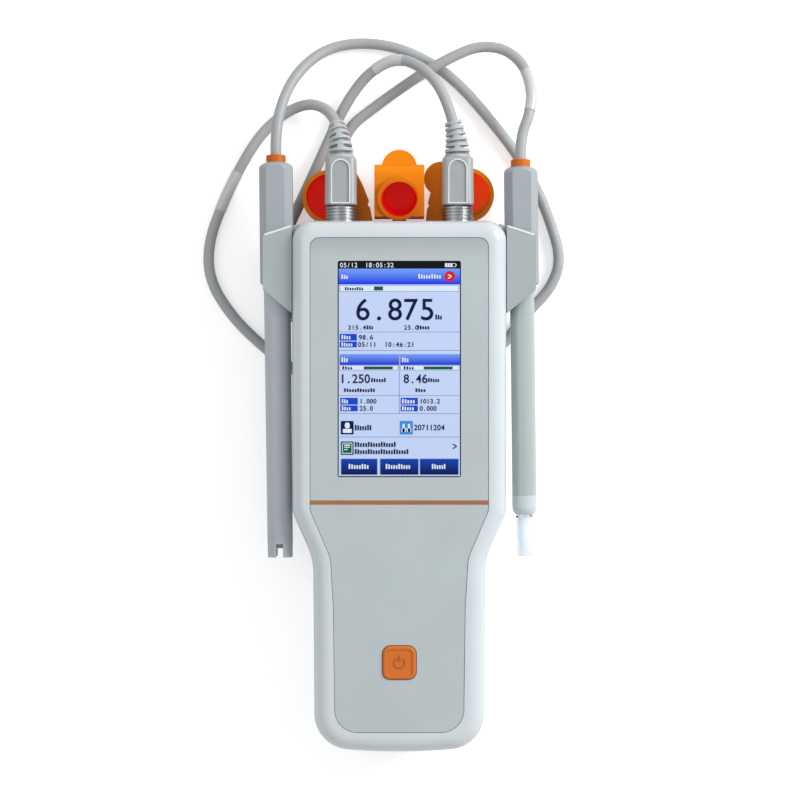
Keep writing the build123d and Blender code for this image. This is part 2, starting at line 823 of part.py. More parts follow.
with BuildPart() as temperature_port:
    with BuildSketch(facing_y(rear_top_y - wall)):
        with Locations((0, port_z)):
            Circle(port_radius)
    extrude(amount=port_reach + wall, dir=(0, 1, 0))
    with BuildSketch(facing_y(rear_top_y)):
        with Locations((0, port_z)):
            Circle(port_radius + port_flange)
    extrude(amount=port_flange, dir=(0, 1, 0))
    with BuildSketch(facing_y(rear_top_y + port_reach)):
        with Locations((0, port_z)):
            Circle(port_radius - 1)
            Circle(port_radius - 2.3, mode=Mode.SUBTRACT)
    extrude(amount=port_reach - 2, dir=(0, -1, 0), mode=Mode.SUBTRACT)
keep("temperature_port", temperature_port.part)


def boot_frame(side, distance):
    """The plane square to a boot's bent middle line, at a distance along it."""
    lean = math.radians(boot_lean[side])
    droop = math.radians(boot_droop[side])
    end = Vector(-math.sin(lean) * math.cos(droop), math.cos(lean) * math.cos(droop), -math.sin(droop))
    bend = math.acos(end.Y)
    sideways = (end - Vector(0, end.Y, 0)).normalized()
    radius = boot_length / bend
    angle = bend * distance / boot_length
    forward = Vector(0, 1, 0)
    middle = Vector(side * socket_offset, boot_y, socket_z)
    middle += forward * radius * math.sin(angle) + sideways * radius * (1 - math.cos(angle))
    heading = forward * math.cos(angle) + sideways * math.sin(angle)
    return Plane(origin=middle, x_dir=heading.cross(Vector(0, 0, 1)), z_dir=heading)


# Plugs: a tapered body with an arched panel on its front and back and a hollow nose in the socket
for side, name in ((-1, "plug_left"), (1, "plug_right")):
    x = side * socket_offset
    with BuildPart() as plug:
        with BuildSketch(facing_y(plug_y)):
            with Locations((x, socket_z)):
                RectangleRounded(plug_width, plug_height, plug_corner)
        with BuildSketch(facing_y(boot_y)):
            with Locations((x, socket_z)):
                RectangleRounded(plug_taper_width, plug_height - 0.4, plug_corner)
        loft()
        fillet(plug.faces().sort_by(Axis.Y)[-1].edges(), 1.2)
        chamfer(plug.faces().sort_by(Axis.Y)[0].edges(), 0.5)
        for way in (-1, 1):
            with BuildSketch(Plane.XY.offset(socket_z + way * plug_height / 2)):
                with Locations((x, plug_y + (plug_length - plug_panel_width) / 2)):
                    Rectangle(plug_panel_width, plug_length - plug_panel_width)
                with Locations((x, boot_y - plug_panel_width / 2 - plug_panel_inset)):
                    Circle(plug_panel_width / 2)
            extrude(amount=-way * plug_panel_depth, mode=Mode.SUBTRACT)
        with BuildSketch(facing_y(plug_y)):
            with Locations((x, socket_z)):
                Circle(plug_nose_radius)
        extrude(amount=plug_nose_length, dir=(0, -1, 0))
        with BuildSketch(facing_y(plug_y - plug_nose_length)):
            with Locations((x, socket_z)):
                Circle(socket_pin_radius + fit_gap)
        extrude(amount=plug_nose_length, dir=(0, 1, 0), mode=Mode.SUBTRACT)
    keep(name, plug.part)

# Ribbed boots: rings along a bent middle line, joined by short cores with webs that turn a quarter
# from each row to the next
boot_pitch = (boot_length - boot_rib) / (boot_rows - 1)
for side, name in ((-1, "boot_left"), (1, "boot_right")):
    with BuildPart() as boot:
        for row in range(boot_rows):
            start = row * boot_pitch
            share = start / boot_length
            rib_radius = boot_base_radius + (boot_end_radius - boot_base_radius) * share
            if row == boot_rows - 1:
                with BuildSketch(boot_frame(side, boot_length)):
                    Circle(rib_radius)
                extrude(amount=-boot_rib)
            else:
                with BuildSketch(boot_frame(side, start)):
                    Circle(rib_radius)
                extrude(amount=boot_rib)
                with BuildSketch(boot_frame(side, start + boot_rib / 2)):
                    Circle(rib_radius - boot_web_inset)
                    if row % 2:
                        Rectangle(2 * boot_web, 2 * rib_radius, mode=Mode.INTERSECT)
                    else:
                        Rectangle(2 * rib_radius, 2 * boot_web, mode=Mode.INTERSECT)
                    Circle(boot_core_radius)
                extrude(amount=boot_pitch)
    keep(name, boot.part)


def probe_frame(side, distance):
    """The plane square to a probe's axis, at a distance up it from the middle of its holder."""
    lean = math.radians(probe_lean)
    axis = Vector(-math.sin(lean), math.cos(lean), 0)
    pivot = Vector(side * probe_offset, probe_pivot_y, probe_z)
    return Plane(origin=pivot + axis * distance, x_dir=(math.cos(lean), math.sin(lean), 0), z_dir=axis)


# Probe handles: a square bar with broad chamfers that meets a turned dome in four arches, and
# above it the coloured collar of the cord
for side, name, length in ((-1, "left", left_handle_length), (1, "right", right_handle_length)):
    shoulder = handle_foot + length
    top = shoulder + shoulder_rise
    shaft_radius = left_shaft_radius if side < 0 else right_shaft_radius
    with BuildPart() as handle:
        with BuildSketch(probe_frame(side, handle_foot)) as section:
            Rectangle(handle_width, handle_width)
            chamfer(section.vertices(), handle_chamfer)
        extrude(amount=top - handle_foot)
        chamfer(handle.faces().sort_by(Axis.Y)[0].edges(), 0.4)
        with BuildSketch(Plane.XZ) as dome_section:
            with BuildLine():
                corner = handle_width / 2 * 1.19
                Polyline((0, handle_foot), (corner, handle_foot), (corner, shoulder - 0.6))
                ThreePointArc(
                    (corner, shoulder - 0.6), (handle_width / 2, shoulder + 2), (neck_radius, top)
                )
                Polyline((neck_radius, top), (0, top), (0, handle_foot))
            make_face()
        dome = revolve(dome_section.sketch, axis=Axis.Z, mode=Mode.PRIVATE)
        add(probe_frame(side, 0) * dome, mode=Mode.INTERSECT)
        with BuildSketch(probe_frame(side, handle_foot)):
            Circle(shaft_radius + shaft_fit)
        extrude(amount=shaft_insert + 1, mode=Mode.SUBTRACT)
    keep(f"probe_handle_{name}", handle.part)
    with BuildPart() as collar:
        with BuildSketch(probe_frame(side, top)):
            Circle(collar_radius)
        extrude(amount=collar_length)
        fillet(collar.edges().group_by(Axis.Y)[-1], 0.5)
    keep(f"probe_collar_{name}", collar.part)

# Left probe: a slim tapered shaft with a castellated guard round its membrane
left_tip = handle_foot - left_shaft_length
with BuildPart() as probe_shaft_left:
    with BuildSketch(probe_frame(-1, handle_foot)):
        Circle(left_shaft_radius)
    with BuildSketch(probe_frame(-1, left_tip)):
        Circle(left_shaft_tip_radius)
    loft()
    with BuildSketch(probe_frame(-1, handle_foot)):
        Circle(left_shaft_radius)
    extrude(amount=shaft_insert)
keep("probe_shaft_left", probe_shaft_left.part)

with BuildPart() as probe_guard_left:
    with BuildSketch(probe_frame(-1, left_tip)):
        Circle(left_shaft_tip_radius)
    extrude(amount=-guard_length)
    with BuildSketch(probe_frame(-1, left_tip - 2)):
        Circle(left_shaft_tip_radius - guard_wall)
    extrude(amount=-guard_length, mode=Mode.SUBTRACT)
    with BuildSketch(probe_frame(-1, left_tip - guard_length)):
        with PolarLocations(0, guard_slots // 2, angular_range=180):
            Rectangle(3 * left_shaft_radius, guard_slot_width)
    extrude(amount=guard_slot_depth, mode=Mode.SUBTRACT)
keep("probe_guard_left", probe_guard_left.part)

with BuildPart() as membrane_left:
    with BuildSketch(probe_frame(-1, left_tip - 2)):
        Circle(left_shaft_tip_radius - guard_wall - 0.4)
    extrude(amount=-guard_length + guard_slot_depth)
    fillet(membrane_left.edges().group_by(Axis.Y)[0], 1.5)
keep("membrane_left", membrane_left.part)

# Right probe: a clear shaft, a turned end cap and a glass cell with its electrode rings
right_tip = handle_foot - right_shaft_length
cap_end = right_tip - tip_cap_length - tip_cap_dome
with BuildPart() as probe_shaft_right:
    with BuildSketch(probe_frame(1, right_tip)):
        Circle(right_shaft_radius)
    extrude(amount=right_shaft_length + shaft_insert)
keep("probe_shaft_right", probe_shaft_right.part)

with BuildPart() as tip_cap_right:
    with BuildSketch(Plane.XZ) as cap_section:
        with BuildLine():
            Polyline(
                (cell_tube_radius + shaft_fit, cap_end),
                (cell_tube_radius + shaft_fit, right_tip - 1),
                (0, right_tip - 1),
                (0, right_tip),
                (tip_cap_radius, right_tip),
                (tip_cap_radius, right_tip - tip_cap_length),
            )
            ThreePointArc(
                (tip_cap_radius, right_tip - tip_cap_length),
                (tip_cap_radius - 0.4, right_tip - tip_cap_length - tip_cap_dome / 2),
                (cell_tube_radius + shaft_fit, cap_end),
            )
        make_face()
    cap_solid = revolve(cap_section.sketch, axis=Axis.Z, mode=Mode.PRIVATE)
    add(probe_frame(1, 0) * cap_solid)
keep("tip_cap_right", tip_cap_right.part)

cell_end = cap_end - cell_tube_length + cell_tube_inset
with BuildPart() as cell_tube_right:
    with BuildSketch(probe_frame(1, cell_end)):
        Circle(cell_tube_radius)
    extrude(amount=right_tip - 1 - cell_end)
    fillet(cell_tube_right.edges().group_by(Axis.Y)[0], 2.5)
    with BuildSketch(probe_frame(1, cell_end)):
        Circle(cell_tube_bore)
    extrude(amount=right_tip - 1 - cell_end, mode=Mode.SUBTRACT)
keep("cell_tube_right", cell_tube_right.part)

with BuildPart() as electrodes_right:
    for number in range(electrode_count):
        with BuildSketch(probe_frame(1, cap_end - electrode_start - number * electrode_pitch)):
            Circle(cell_tube_bore)
            Circle(cell_tube_bore - electrode_radius, mode=Mode.SUBTRACT)
        extrude(amount=electrode_width)
keep("electrodes_right", electrodes_right.part)

# Probe holders: a moulded bracket on each side of the head, open outwards, with a chamfered
# channel for the handle and a round one below it for the shaft, screwed through its web
holder_inner_x = rear_half_width + holder_web_gap
holder_low_z = probe_z - handle_width / 2 - holder_gap - holder_plate
holder_high_z = probe_z + handle_width / 2 + holder_gap + holder_plate
channel_x = probe_offset - handle_width / 2 - holder_side_gap
channel_half = handle_width / 2 + holder_gap
holder_top_y = case_top_y - holder_top_drop
holder_low_y = case_top_y - holder_low_drop
ledge_y = probe_pivot_y + handle_foot - ledge_gap
with BuildPart() as holder_right:
    with BuildSketch(Plane.XY.offset(holder_low_z)) as plan:
        with BuildLine():
            Polyline(
                (holder_inner_x, holder_low_y),
                (holder_reach, holder_low_y + holder_low_slope),
                (holder_reach, holder_top_y - holder_top_slope),
                (holder_inner_x, holder_top_y),
                close=True,
            )
        make_face()
        fillet(plan.vertices().group_by(Axis.X)[-1], 2.0)
    extrude(amount=holder_high_z - holder_low_z)
    with BuildSketch(facing_y(case_top_y)):
        with Locations(((holder_inner_x + head_width / 2) / 2, (parting_z + holder_high_z) / 2)):
            Rectangle(
                head_width / 2 - holder_inner_x + 2 * holder_frame_gap,
                holder_high_z - parting_z + 2 * holder_frame_gap,
            )
    extrude(amount=head_length, dir=(0, -1, 0), mode=Mode.SUBTRACT)
    with BuildSketch(facing_y(ledge_y)) as channel:
        with Locations((channel_x, probe_z)):
            Rectangle(2 * handle_width, 2 * channel_half, align=(Align.MIN, Align.CENTER))
        chamfer(channel.vertices().group_by(Axis.X)[0], handle_chamfer + holder_side_gap)
    extrude(amount=case_top_y - ledge_y, dir=(0, 1, 0), mode=Mode.SUBTRACT)
    with BuildSketch(facing_y(ledge_y)):
        with Locations((probe_offset, probe_z)):
            Circle(left_shaft_radius + shaft_clear)
            Rectangle(handle_width, 2 * (left_shaft_radius + shaft_clear), align=(Align.MIN, Align.CENTER))
    extrude(amount=ledge_y - holder_low_y, dir=(0, -1, 0), mode=Mode.SUBTRACT)
    with BuildSketch(Plane.YZ.offset(channel_x)):
        with Locations(*holder_screw_spots):
            Circle(holder_screw_head + fit_gap)
    extrude(amount=handle_width, mode=Mode.SUBTRACT)
    with BuildSketch(Plane.YZ.offset(channel_x - holder_screw_sink)):
        with Locations(*holder_screw_spots):
            Circle(holder_screw_head + fit_gap)
    extrude(amount=holder_screw_sink, mode=Mode.SUBTRACT)
    with BuildSketch(Plane.YZ.offset(holder_inner_x)):
        with Locations(*holder_screw_spots):
            Circle(screw_radius + fit_gap)
    extrude(amount=holder_plate, mode=Mode.SUBTRACT)
keep("holder_right", holder_right.part)
with BuildPart() as holder_left:
    add(mirror(holder_right.part, about=Plane.YZ, mode=Mode.PRIVATE))
keep("holder_left", holder_left.part)

with BuildPart() as holder_screws:
    with BuildSketch(Plane.YZ.offset(channel_x - holder_screw_sink)):
        with Locations(*holder_screw_spots):
            Circle(holder_screw_head)
    extrude(amount=holder_screw_sink)
    with BuildSketch(Plane.YZ.offset(rear_half_width - wall - holder_boss + 1)):
        with Locations(*holder_screw_spots):
            Circle(screw_radius)
    extrude(amount=channel_x - rear_half_width + wall + holder_boss - 1)
    with BuildSketch(Plane.YZ.offset(channel_x - holder_screw_sink / 2)):
        with Locations(*holder_screw_spots):
            RegularPolygon(screw_radius, 6)
    extrude(amount=holder_screw_sink, mode=Mode.SUBTRACT)
    mirror(about=Plane.YZ)
keep("holder_screws", holder_screws.part)

# Dust caps of the sockets: a cup on a shaped strap, each with a pegged anchor in the case
cup_seat_z = strap_z + strap_thickness
for side, name in ((-1, "left"), (1, "right")):
    cup_x, cup_out = cup_spots[side]
    cup_y = rear_top_y + cup_out
    with BuildPart() as cap:
        with BuildSketch(Plane.XY.offset(strap_z)) as strap:
            with BuildLine():
                Polyline(
                    (side * cup_x, cup_y + cup_radius),
                    *[(side * edge_x, rear_top_y + edge_out) for edge_x, edge_out in strap_edges[side]],
                    (side * strap_inner_x, hinge_y + hinge_gap / 2),
                    (side * strap_outer_x, hinge_y + hinge_gap / 2),
                    (side * (cup_x - cup_radius * 0.7), cup_y - cup_radius * 0.7),
                    (side * cup_x, cup_y),
                    close=True,
                )
            make_face()
        extrude(amount=strap_thickness)
        with BuildSketch(Plane.XY.offset(cup_seat_z)):
            with Locations((side * cup_x, cup_y)):
                Circle(cup_radius)
        extrude(amount=-cup_depth)
        if side > 0:
            with BuildSketch(Plane.XY.offset(strap_z)):
                with Locations((tab_spot[0], rear_top_y + tab_spot[1])):
                    Circle(tab_radius)
            extrude(amount=strap_thickness)
        fillet(cap.edges().group_by(Axis.Z)[0], 0.8)
        with BuildSketch(Plane.XY.offset(cup_seat_z)):
            with Locations((side * cup_x, cup_y)):
                Circle(cup_bore)
        extrude(amount=cup_floor - cup_depth, mode=Mode.SUBTRACT)
    keep(f"dust_cap_{name}", cap.part)
    with BuildPart() as anchor:
        with BuildSketch(Plane.XY.offset(strap_z)):
            with Locations((side * anchor_x, (rear_top_y + hinge_y - hinge_gap / 2) / 2)):
                Rectangle(strap_outer_x - strap_inner_x, hinge_y - hinge_gap / 2 - rear_top_y)
        extrude(amount=strap_thickness)
        with BuildSketch(facing_y(rear_top_y)):
            with Locations((side * anchor_x, anchor_z)):
                Circle(anchor_radius)
        extrude(amount=wall, dir=(0, -1, 0))
    keep(f"strap_anchor_{name}", anchor.part)

# Dust cap of the port: a folded block pushed over the port, with a tilted cup on its front and a
# round pull tab
centre_cap_low_y = case_top_y + centre_cap_base_gap
centre_cap_top_z = centre_cap_base_z + centre_cap_height
with BuildPart() as dust_cap_centre:
    with BuildSketch(Plane.YZ.offset(-centre_cap_width / 2)) as block:
        with Locations((centre_cap_low_y, centre_cap_base_z)):
            Rectangle(centre_cap_length, centre_cap_height, align=(Align.MIN, Align.MIN))
        fillet(block.vertices().group_by(Axis.X)[-1], centre_cap_fold)
    extrude(amount=centre_cap_width)
    with BuildSketch(Plane.XY.offset(pull_tab_z)):
        with Locations((0, centre_cap_low_y + centre_cap_length - pull_tab_sink)):
            Circle(pull_tab_radius)
    extrude(amount=pull_tab_thickness)
    cup_plane = Plane(
        origin=(0, centre_cap_low_y + centre_cap_length - centre_cup_drop, centre_cap_top_z),
        x_dir=(1, 0, 0),
        z_dir=(0, -math.sin(math.radians(centre_cup_tilt)), math.cos(math.radians(centre_cup_tilt))),
    )
    with BuildSketch(cup_plane.offset(centre_cup_rise)):
        Circle(centre_cup_radius)
    extrude(amount=-centre_cup_rise - 3)
    with BuildSketch(cup_plane.offset(centre_cup_rise)):
        Circle(centre_cup_bore)
    extrude(amount=-centre_cup_depth, taper=6, mode=Mode.SUBTRACT)
    with BuildSketch(facing_y(centre_cap_low_y)):
        with Locations((0, port_z)):
            Circle(port_radius + port_gap)
    extrude(amount=rear_top_y + port_reach - centre_cap_low_y + 0.3, dir=(0, 1, 0), mode=Mode.SUBTRACT)
keep("dust_cap_centre", dust_cap_centre.part)


def along(plane, distance):
    """A point on a plane's normal."""
    return plane.origin + plane.z_dir * distance


# Cords of the two probes, each from its collar, round the instrument and into a plug's boot
left_collar = probe_frame(-1, handle_foot + left_handle_length + shoulder_rise + collar_length)
right_collar = probe_frame(1, handle_foot + right_handle_length + shoulder_rise + collar_length)
table_z = cord_diameter / 2
cord_routes = {
    "cord_left": [
        along(left_collar, 0),
        along(left_collar, 10),
        (-53.4, 154.9, 18.9),
        (-48.6, 167.2, 12.6),
        (-40.2, 177.9, 6.2),
        (-29.6, 184.3, 2.6),
        (-15.5, 185.9, table_z),
        (0, 183.5, table_z),
        (15, 176.5, table_z),
        (28, 166.3, table_z),
        (39.8, 152.7, table_z),
        (52, 137.7, table_z),
        (62, 121.3, table_z),
        (69.2, 104.3, table_z),
        (74.4, 86.3, table_z),
        (69.5, 72.8, table_z),
        (59, 62.4, table_z),
        (45, 43.4, table_z),
        (24, 29.4, table_z),
        (0, 22.9, table_z),
        (-24, 24.9, table_z),
        (-46, 33.4, table_z),
        (-64, 47.4, table_z),
        (-77.5, 60.9, table_z),
        (-87.4, 77.3, table_z),
        (-87.6, 94.3, table_z),
        (-81, 112.3, table_z),
        (-73.5, 127.8, table_z),
        (-64.5, 142.8, table_z),
        (-53.8, 152.9, 3.2),
        (-43.0, 157.3, 6.2),
        (-35.6, 155.9, 8.9),
        along(boot_frame(-1, boot_length), 6.6),
        along(boot_frame(-1, boot_length), 0),
    ],
    "cord_right": [
        along(right_collar, 0),
        along(right_collar, 10),
        (59.0, 151.3, 20.5),
        (60.0, 162.3, 16.8),
        (56.6, 173.9, 13.4),
        (48.2, 181.5, 11.6),
        (36, 182.9, 11.3),
        (23.8, 177.8, 11.6),
        (11.5, 170.8, 11.4),
        (-0.5, 163.5, 6.8),
        (-12.5, 155.3, 2.7),
        (-22.5, 147.7, table_z),
        (-27.6, 135.3, table_z),
        (-28.8, 118.3, table_z),
        (-26, 99.3, table_z),
        (-22.5, 80.3, table_z),
        (-27, 62.9, table_z),
        (-41.5, 56.4, table_z),
        (-55.5, 63.4, table_z),
        (-58.6, 79.3, table_z),
        (-53.5, 95.3, table_z),
        (-46.3, 110.8, table_z),
        (-39, 126.3, table_z),
        (-31.8, 142.3, table_z),
        (-25, 156.8, 5.0),
        (-14.5, 170.8, 9.5),
        (-1, 177.3, 15.0),
        (12, 171.2, 19.2),
        along(boot_frame(1, boot_length), 12.4),
        along(boot_frame(1, boot_length), 0),
    ],
}
for name, route in cord_routes.items():
    points = [Vector(point) for point in route]
    radii = []
    for before, here, after in zip(points, points[1:], points[2:]):
        run = min((here - before).length, (after - here).length)
        turn = math.radians((here - before).get_angle(after - here))
        radii.append(0.45 * run / math.tan(turn / 2))
    with BuildPart() as cord:
        with BuildLine() as path:
            FilletPolyline(*points, radius=radii)
        with BuildSketch(Plane(origin=points[0], z_dir=points[1] - points[0])):
            Circle(cord_diameter / 2)
        sweep(path=path.wires()[0])
    keep(name, cord.part)
    length = path.wires()[0].length
    section = math.pi * cord_diameter**2 / 4
    print(name, "length", round(length, 1), "volume share", round(cord.part.volume / section / length, 4))
    print("  radii", [round(radius, 1) for radius in radii])
    print("  ends", [[round(value, 2) for value in point] for point in (*points[:2], *points[-3:])])
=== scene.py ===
import bmesh
import bpy
import math
from mathutils import Matrix, Vector, kdtree
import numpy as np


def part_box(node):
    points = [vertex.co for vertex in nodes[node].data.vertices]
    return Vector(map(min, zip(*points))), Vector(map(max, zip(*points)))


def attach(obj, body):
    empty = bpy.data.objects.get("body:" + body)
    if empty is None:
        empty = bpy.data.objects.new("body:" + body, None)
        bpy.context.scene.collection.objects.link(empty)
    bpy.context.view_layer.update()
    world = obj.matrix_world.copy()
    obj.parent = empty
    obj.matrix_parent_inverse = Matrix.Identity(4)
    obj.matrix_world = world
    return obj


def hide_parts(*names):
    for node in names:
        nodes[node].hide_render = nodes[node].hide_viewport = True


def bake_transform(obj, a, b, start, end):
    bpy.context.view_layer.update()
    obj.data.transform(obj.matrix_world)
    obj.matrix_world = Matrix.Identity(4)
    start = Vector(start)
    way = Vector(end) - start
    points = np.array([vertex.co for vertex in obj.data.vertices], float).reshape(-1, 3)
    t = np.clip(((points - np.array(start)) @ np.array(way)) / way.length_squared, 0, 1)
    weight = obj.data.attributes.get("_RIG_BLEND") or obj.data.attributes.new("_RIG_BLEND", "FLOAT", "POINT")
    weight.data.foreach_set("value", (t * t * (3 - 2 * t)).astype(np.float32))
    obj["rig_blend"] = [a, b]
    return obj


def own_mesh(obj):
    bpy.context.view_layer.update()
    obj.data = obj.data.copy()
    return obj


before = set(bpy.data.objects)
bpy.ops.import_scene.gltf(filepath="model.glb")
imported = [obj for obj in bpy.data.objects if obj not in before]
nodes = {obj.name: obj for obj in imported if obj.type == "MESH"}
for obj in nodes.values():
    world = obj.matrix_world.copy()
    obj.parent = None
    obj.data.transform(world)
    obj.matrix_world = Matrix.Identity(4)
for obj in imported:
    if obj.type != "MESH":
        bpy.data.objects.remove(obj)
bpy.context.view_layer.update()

# The studio: a pale table, a white room and two soft lamps. The camera looks straight down from
# 0.9 m above the screen, and 800 pixels span 353.2 mm at the height of the front.
MM = 0.001
FRONT_Z = 38.0
CAMERA_X = 0.31
CAMERA_Y = 21.85
CAMERA_UP = 900.0
VIEW_WIDTH = 353.2
SENSOR = 36.0


def vec(x, y, z=0.0):
    """A point given in millimetres, in metres."""
    return Vector((x * MM, y * MM, z * MM))


scene = bpy.context.scene
scene.view_settings.view_transform = "Standard"
camera_data = bpy.data.cameras.new("camera")
camera_data.sensor_width = SENSOR
camera_data.lens = SENSOR * CAMERA_UP / VIEW_WIDTH
camera = bpy.data.objects.new("camera", camera_data)
camera.location = vec(CAMERA_X, CAMERA_Y, FRONT_Z + CAMERA_UP)
scene.collection.objects.link(camera)
scene.camera = camera


def lamp(name, place, power, size):
    """A square soft lamp at place, turned towards the middle of the table."""
    data = bpy.data.lights.new(name, "AREA")
    data.energy = power
    data.size = size
    item = bpy.data.objects.new(name, data)
    item.location = place
    item.rotation_mode = "QUATERNION"
    item.rotation_quaternion = (-place).to_track_quat("-Z", "Y")
    scene.collection.objects.link(item)


lamp("lamp_right", Vector((1.15, 0.7, 0.8)), power=17.0, size=0.7)
lamp("lamp_left", Vector((-0.8, 0.3, 1.3)), power=2.0, size=0.9)


class Field:
    """A socket of a material's nodes, so that maths on it is written as an expression."""

    def __init__(self, tree, socket):
        self.tree = tree
        self.socket = socket

    def node(self, kind, settings=None, output=0, **inputs):
        """A new node of this kind, with its settings, then its inputs, by name or as in0, in1."""
        made = self.tree.nodes.new(kind)
        for key, value in (settings or {}).items():
            setattr(made, key, value)
        for key, value in inputs.items():
            number = key[2:]
            spot = made.inputs[int(number)] if number.isdigit() else made.inputs[key.replace("_", " ")]
            if isinstance(value, Field):
                self.tree.links.new(value.socket, spot)
            else:
                spot.default_value = value
        return Field(self.tree, made.outputs[output])

    def math(self, operation, *values):
        named = {f"in{number}": value for number, value in enumerate(values)}
        return self.node("ShaderNodeMath", {"operation": operation}, **named)

    def __add__(self, other):
        return self.math("ADD", self, other)

    def __sub__(self, other):
        return self.math("SUBTRACT", self, other)

    def __mul__(self, other):
        return self.math("MULTIPLY", self, other)

    def __rsub__(self, other):
        return self.math("SUBTRACT", other, self)

    __radd__ = __add__
    __rmul__ = __mul__

    def ramp(self, low, high):
        """This value stretched so that low is 0 and high is 1, and kept between them."""
        return self.node("ShaderNodeMapRange", {"clamp": True}, Value=self, From_Min=low, From_Max=high)

    def tint(self, low, high):
        """A colour from low to high as this value goes from 0 to 1."""
        return self.node(
            "ShaderNodeMix", {"data_type": "RGBA"}, 2, in0=self, in6=(*low, 1.0), in7=(*high, 1.0)
        )

    def over(self, mask, colour):
        """This colour with another laid over it where the mask is 1."""
        return self.node("ShaderNodeMix", {"data_type": "RGBA"}, 2, in0=mask, in6=self, in7=(*colour, 1.0))

    def split(self, axis):
        """One of this vector's three parts."""
        return self.node("ShaderNodeSeparateXYZ", output="XYZ".index(axis), in0=self)

    def noise(self, scale, detail=3.0):
        """Cloudy noise over this position, its features about 1 / scale metres across."""
        return self.node("ShaderNodeTexNoise", in0=self, Scale=scale, Detail=detail)


def linear(red, green, blue):
    """A colour read as 0 to 255 on a screen, as a shader wants it."""
    return tuple((part / 255.0) ** 2.2 for part in (red, green, blue))


CLOUD_SCALE = 45.0
GLOSS_SCALE = 220.0
GRAIN_RISE = 0.0002


def finish_of(
    name, colour, roughness=0.4, spread=0.06, grain=2500.0, bump=0.02, paint=None, glow=None, **fixed
):
    """A moulded or painted finish: a colour with soft clouds in it, uneven gloss and a fine grain.
    paint may change the colour, from the position and the plain colour, and glow gives its light."""
    made = bpy.data.materials.new(name)
    made.use_nodes = True
    tree = made.node_tree
    shader = tree.nodes["Principled BSDF"]
    place = tree.nodes.new("ShaderNodeTexCoord")
    point = Field(tree, place.outputs["Object"])
    low = tuple(part * (1 - spread) for part in colour)
    high = tuple(min(1.0, part * (1 + spread)) for part in colour)
    tinted = point.noise(CLOUD_SCALE).ramp(0.35, 0.65).tint(low, high)
    if paint:
        tinted = paint(point, tinted)
    tree.links.new(tinted.socket, shader.inputs["Base Color"])
    if glow:
        tree.links.new(glow(point).socket, shader.inputs["Emission Color"])
    uneven = point.noise(GLOSS_SCALE, 4.0).ramp(0.3, 0.7)
    gloss = uneven * (roughness * 0.3) + roughness * 0.85
    tree.links.new(gloss.socket, shader.inputs["Roughness"])
    if bump:
        height = point.noise(grain, 2.0)
        raised = point.node("ShaderNodeBump", Strength=bump, Distance=GRAIN_RISE, Height=height)
        tree.links.new(raised.socket, shader.inputs["Normal"])
    for socket, value in fixed.items():
        shader.inputs[socket.replace("_", " ")].default_value = value
    return made


# The table is a white sheet that the object stands on. It glows a little where the camera sees it,
# so that it stays white round the shadow, and it is clear from below.
TABLE_GLOW = 0.45
TABLE_SIZE = 6.0
TABLE_DROP = 0.3
table_finish = finish_of("table_white", (0.95, 0.95, 0.955), 0.75, spread=0.004, bump=0.0)
table_tree = table_finish.node_tree
plain = Field(table_tree, table_tree.nodes["Principled BSDF"].outputs[0])
camera_ray = plain.node("ShaderNodeLightPath", output=0)
light = plain.node("ShaderNodeEmission", Strength=TABLE_GLOW * camera_ray)
lit_table = plain.node("ShaderNodeAddShader", in0=plain, in1=light)
from_below = plain.node("ShaderNodeNewGeometry", output=6) * camera_ray
clear = plain.node("ShaderNodeBsdfTransparent")
one_sided = plain.node("ShaderNodeMixShader", in0=from_below, in1=lit_table, in2=clear)
table_tree.links.new(one_sided.socket, table_tree.nodes["Material Output"].inputs["Surface"])
table_mesh = bpy.data.meshes.new("table")
table_bm = bmesh.new()
bmesh.ops.create_grid(table_bm, x_segments=2, y_segments=2, size=TABLE_SIZE)
table_bm.to_mesh(table_mesh)
table_bm.free()
table = bpy.data.objects.new("table", table_mesh)
table_mesh.materials.append(table_finish)
table.location = vec(0, 0, -TABLE_DROP)
scene.collection.objects.link(table)

# The room is plain white paint. It lights the object softly from all round, at a lower level
# than the white that the camera sees behind the object.
ROOM_LIGHT = 0.55
world = bpy.data.worlds.new("room")
scene.world = world
world.use_nodes = True
background = world.node_tree.nodes["Background"]
background.inputs["Color"].default_value = (1.0, 1.0, 1.0, 1.0)
room = Field(world.node_tree, background.outputs[0])
light_level = room.node("ShaderNodeLightPath", output=0) * (1 - ROOM_LIGHT) + ROOM_LIGHT
world.node_tree.links.new(light_level.socket, background.inputs["Strength"])

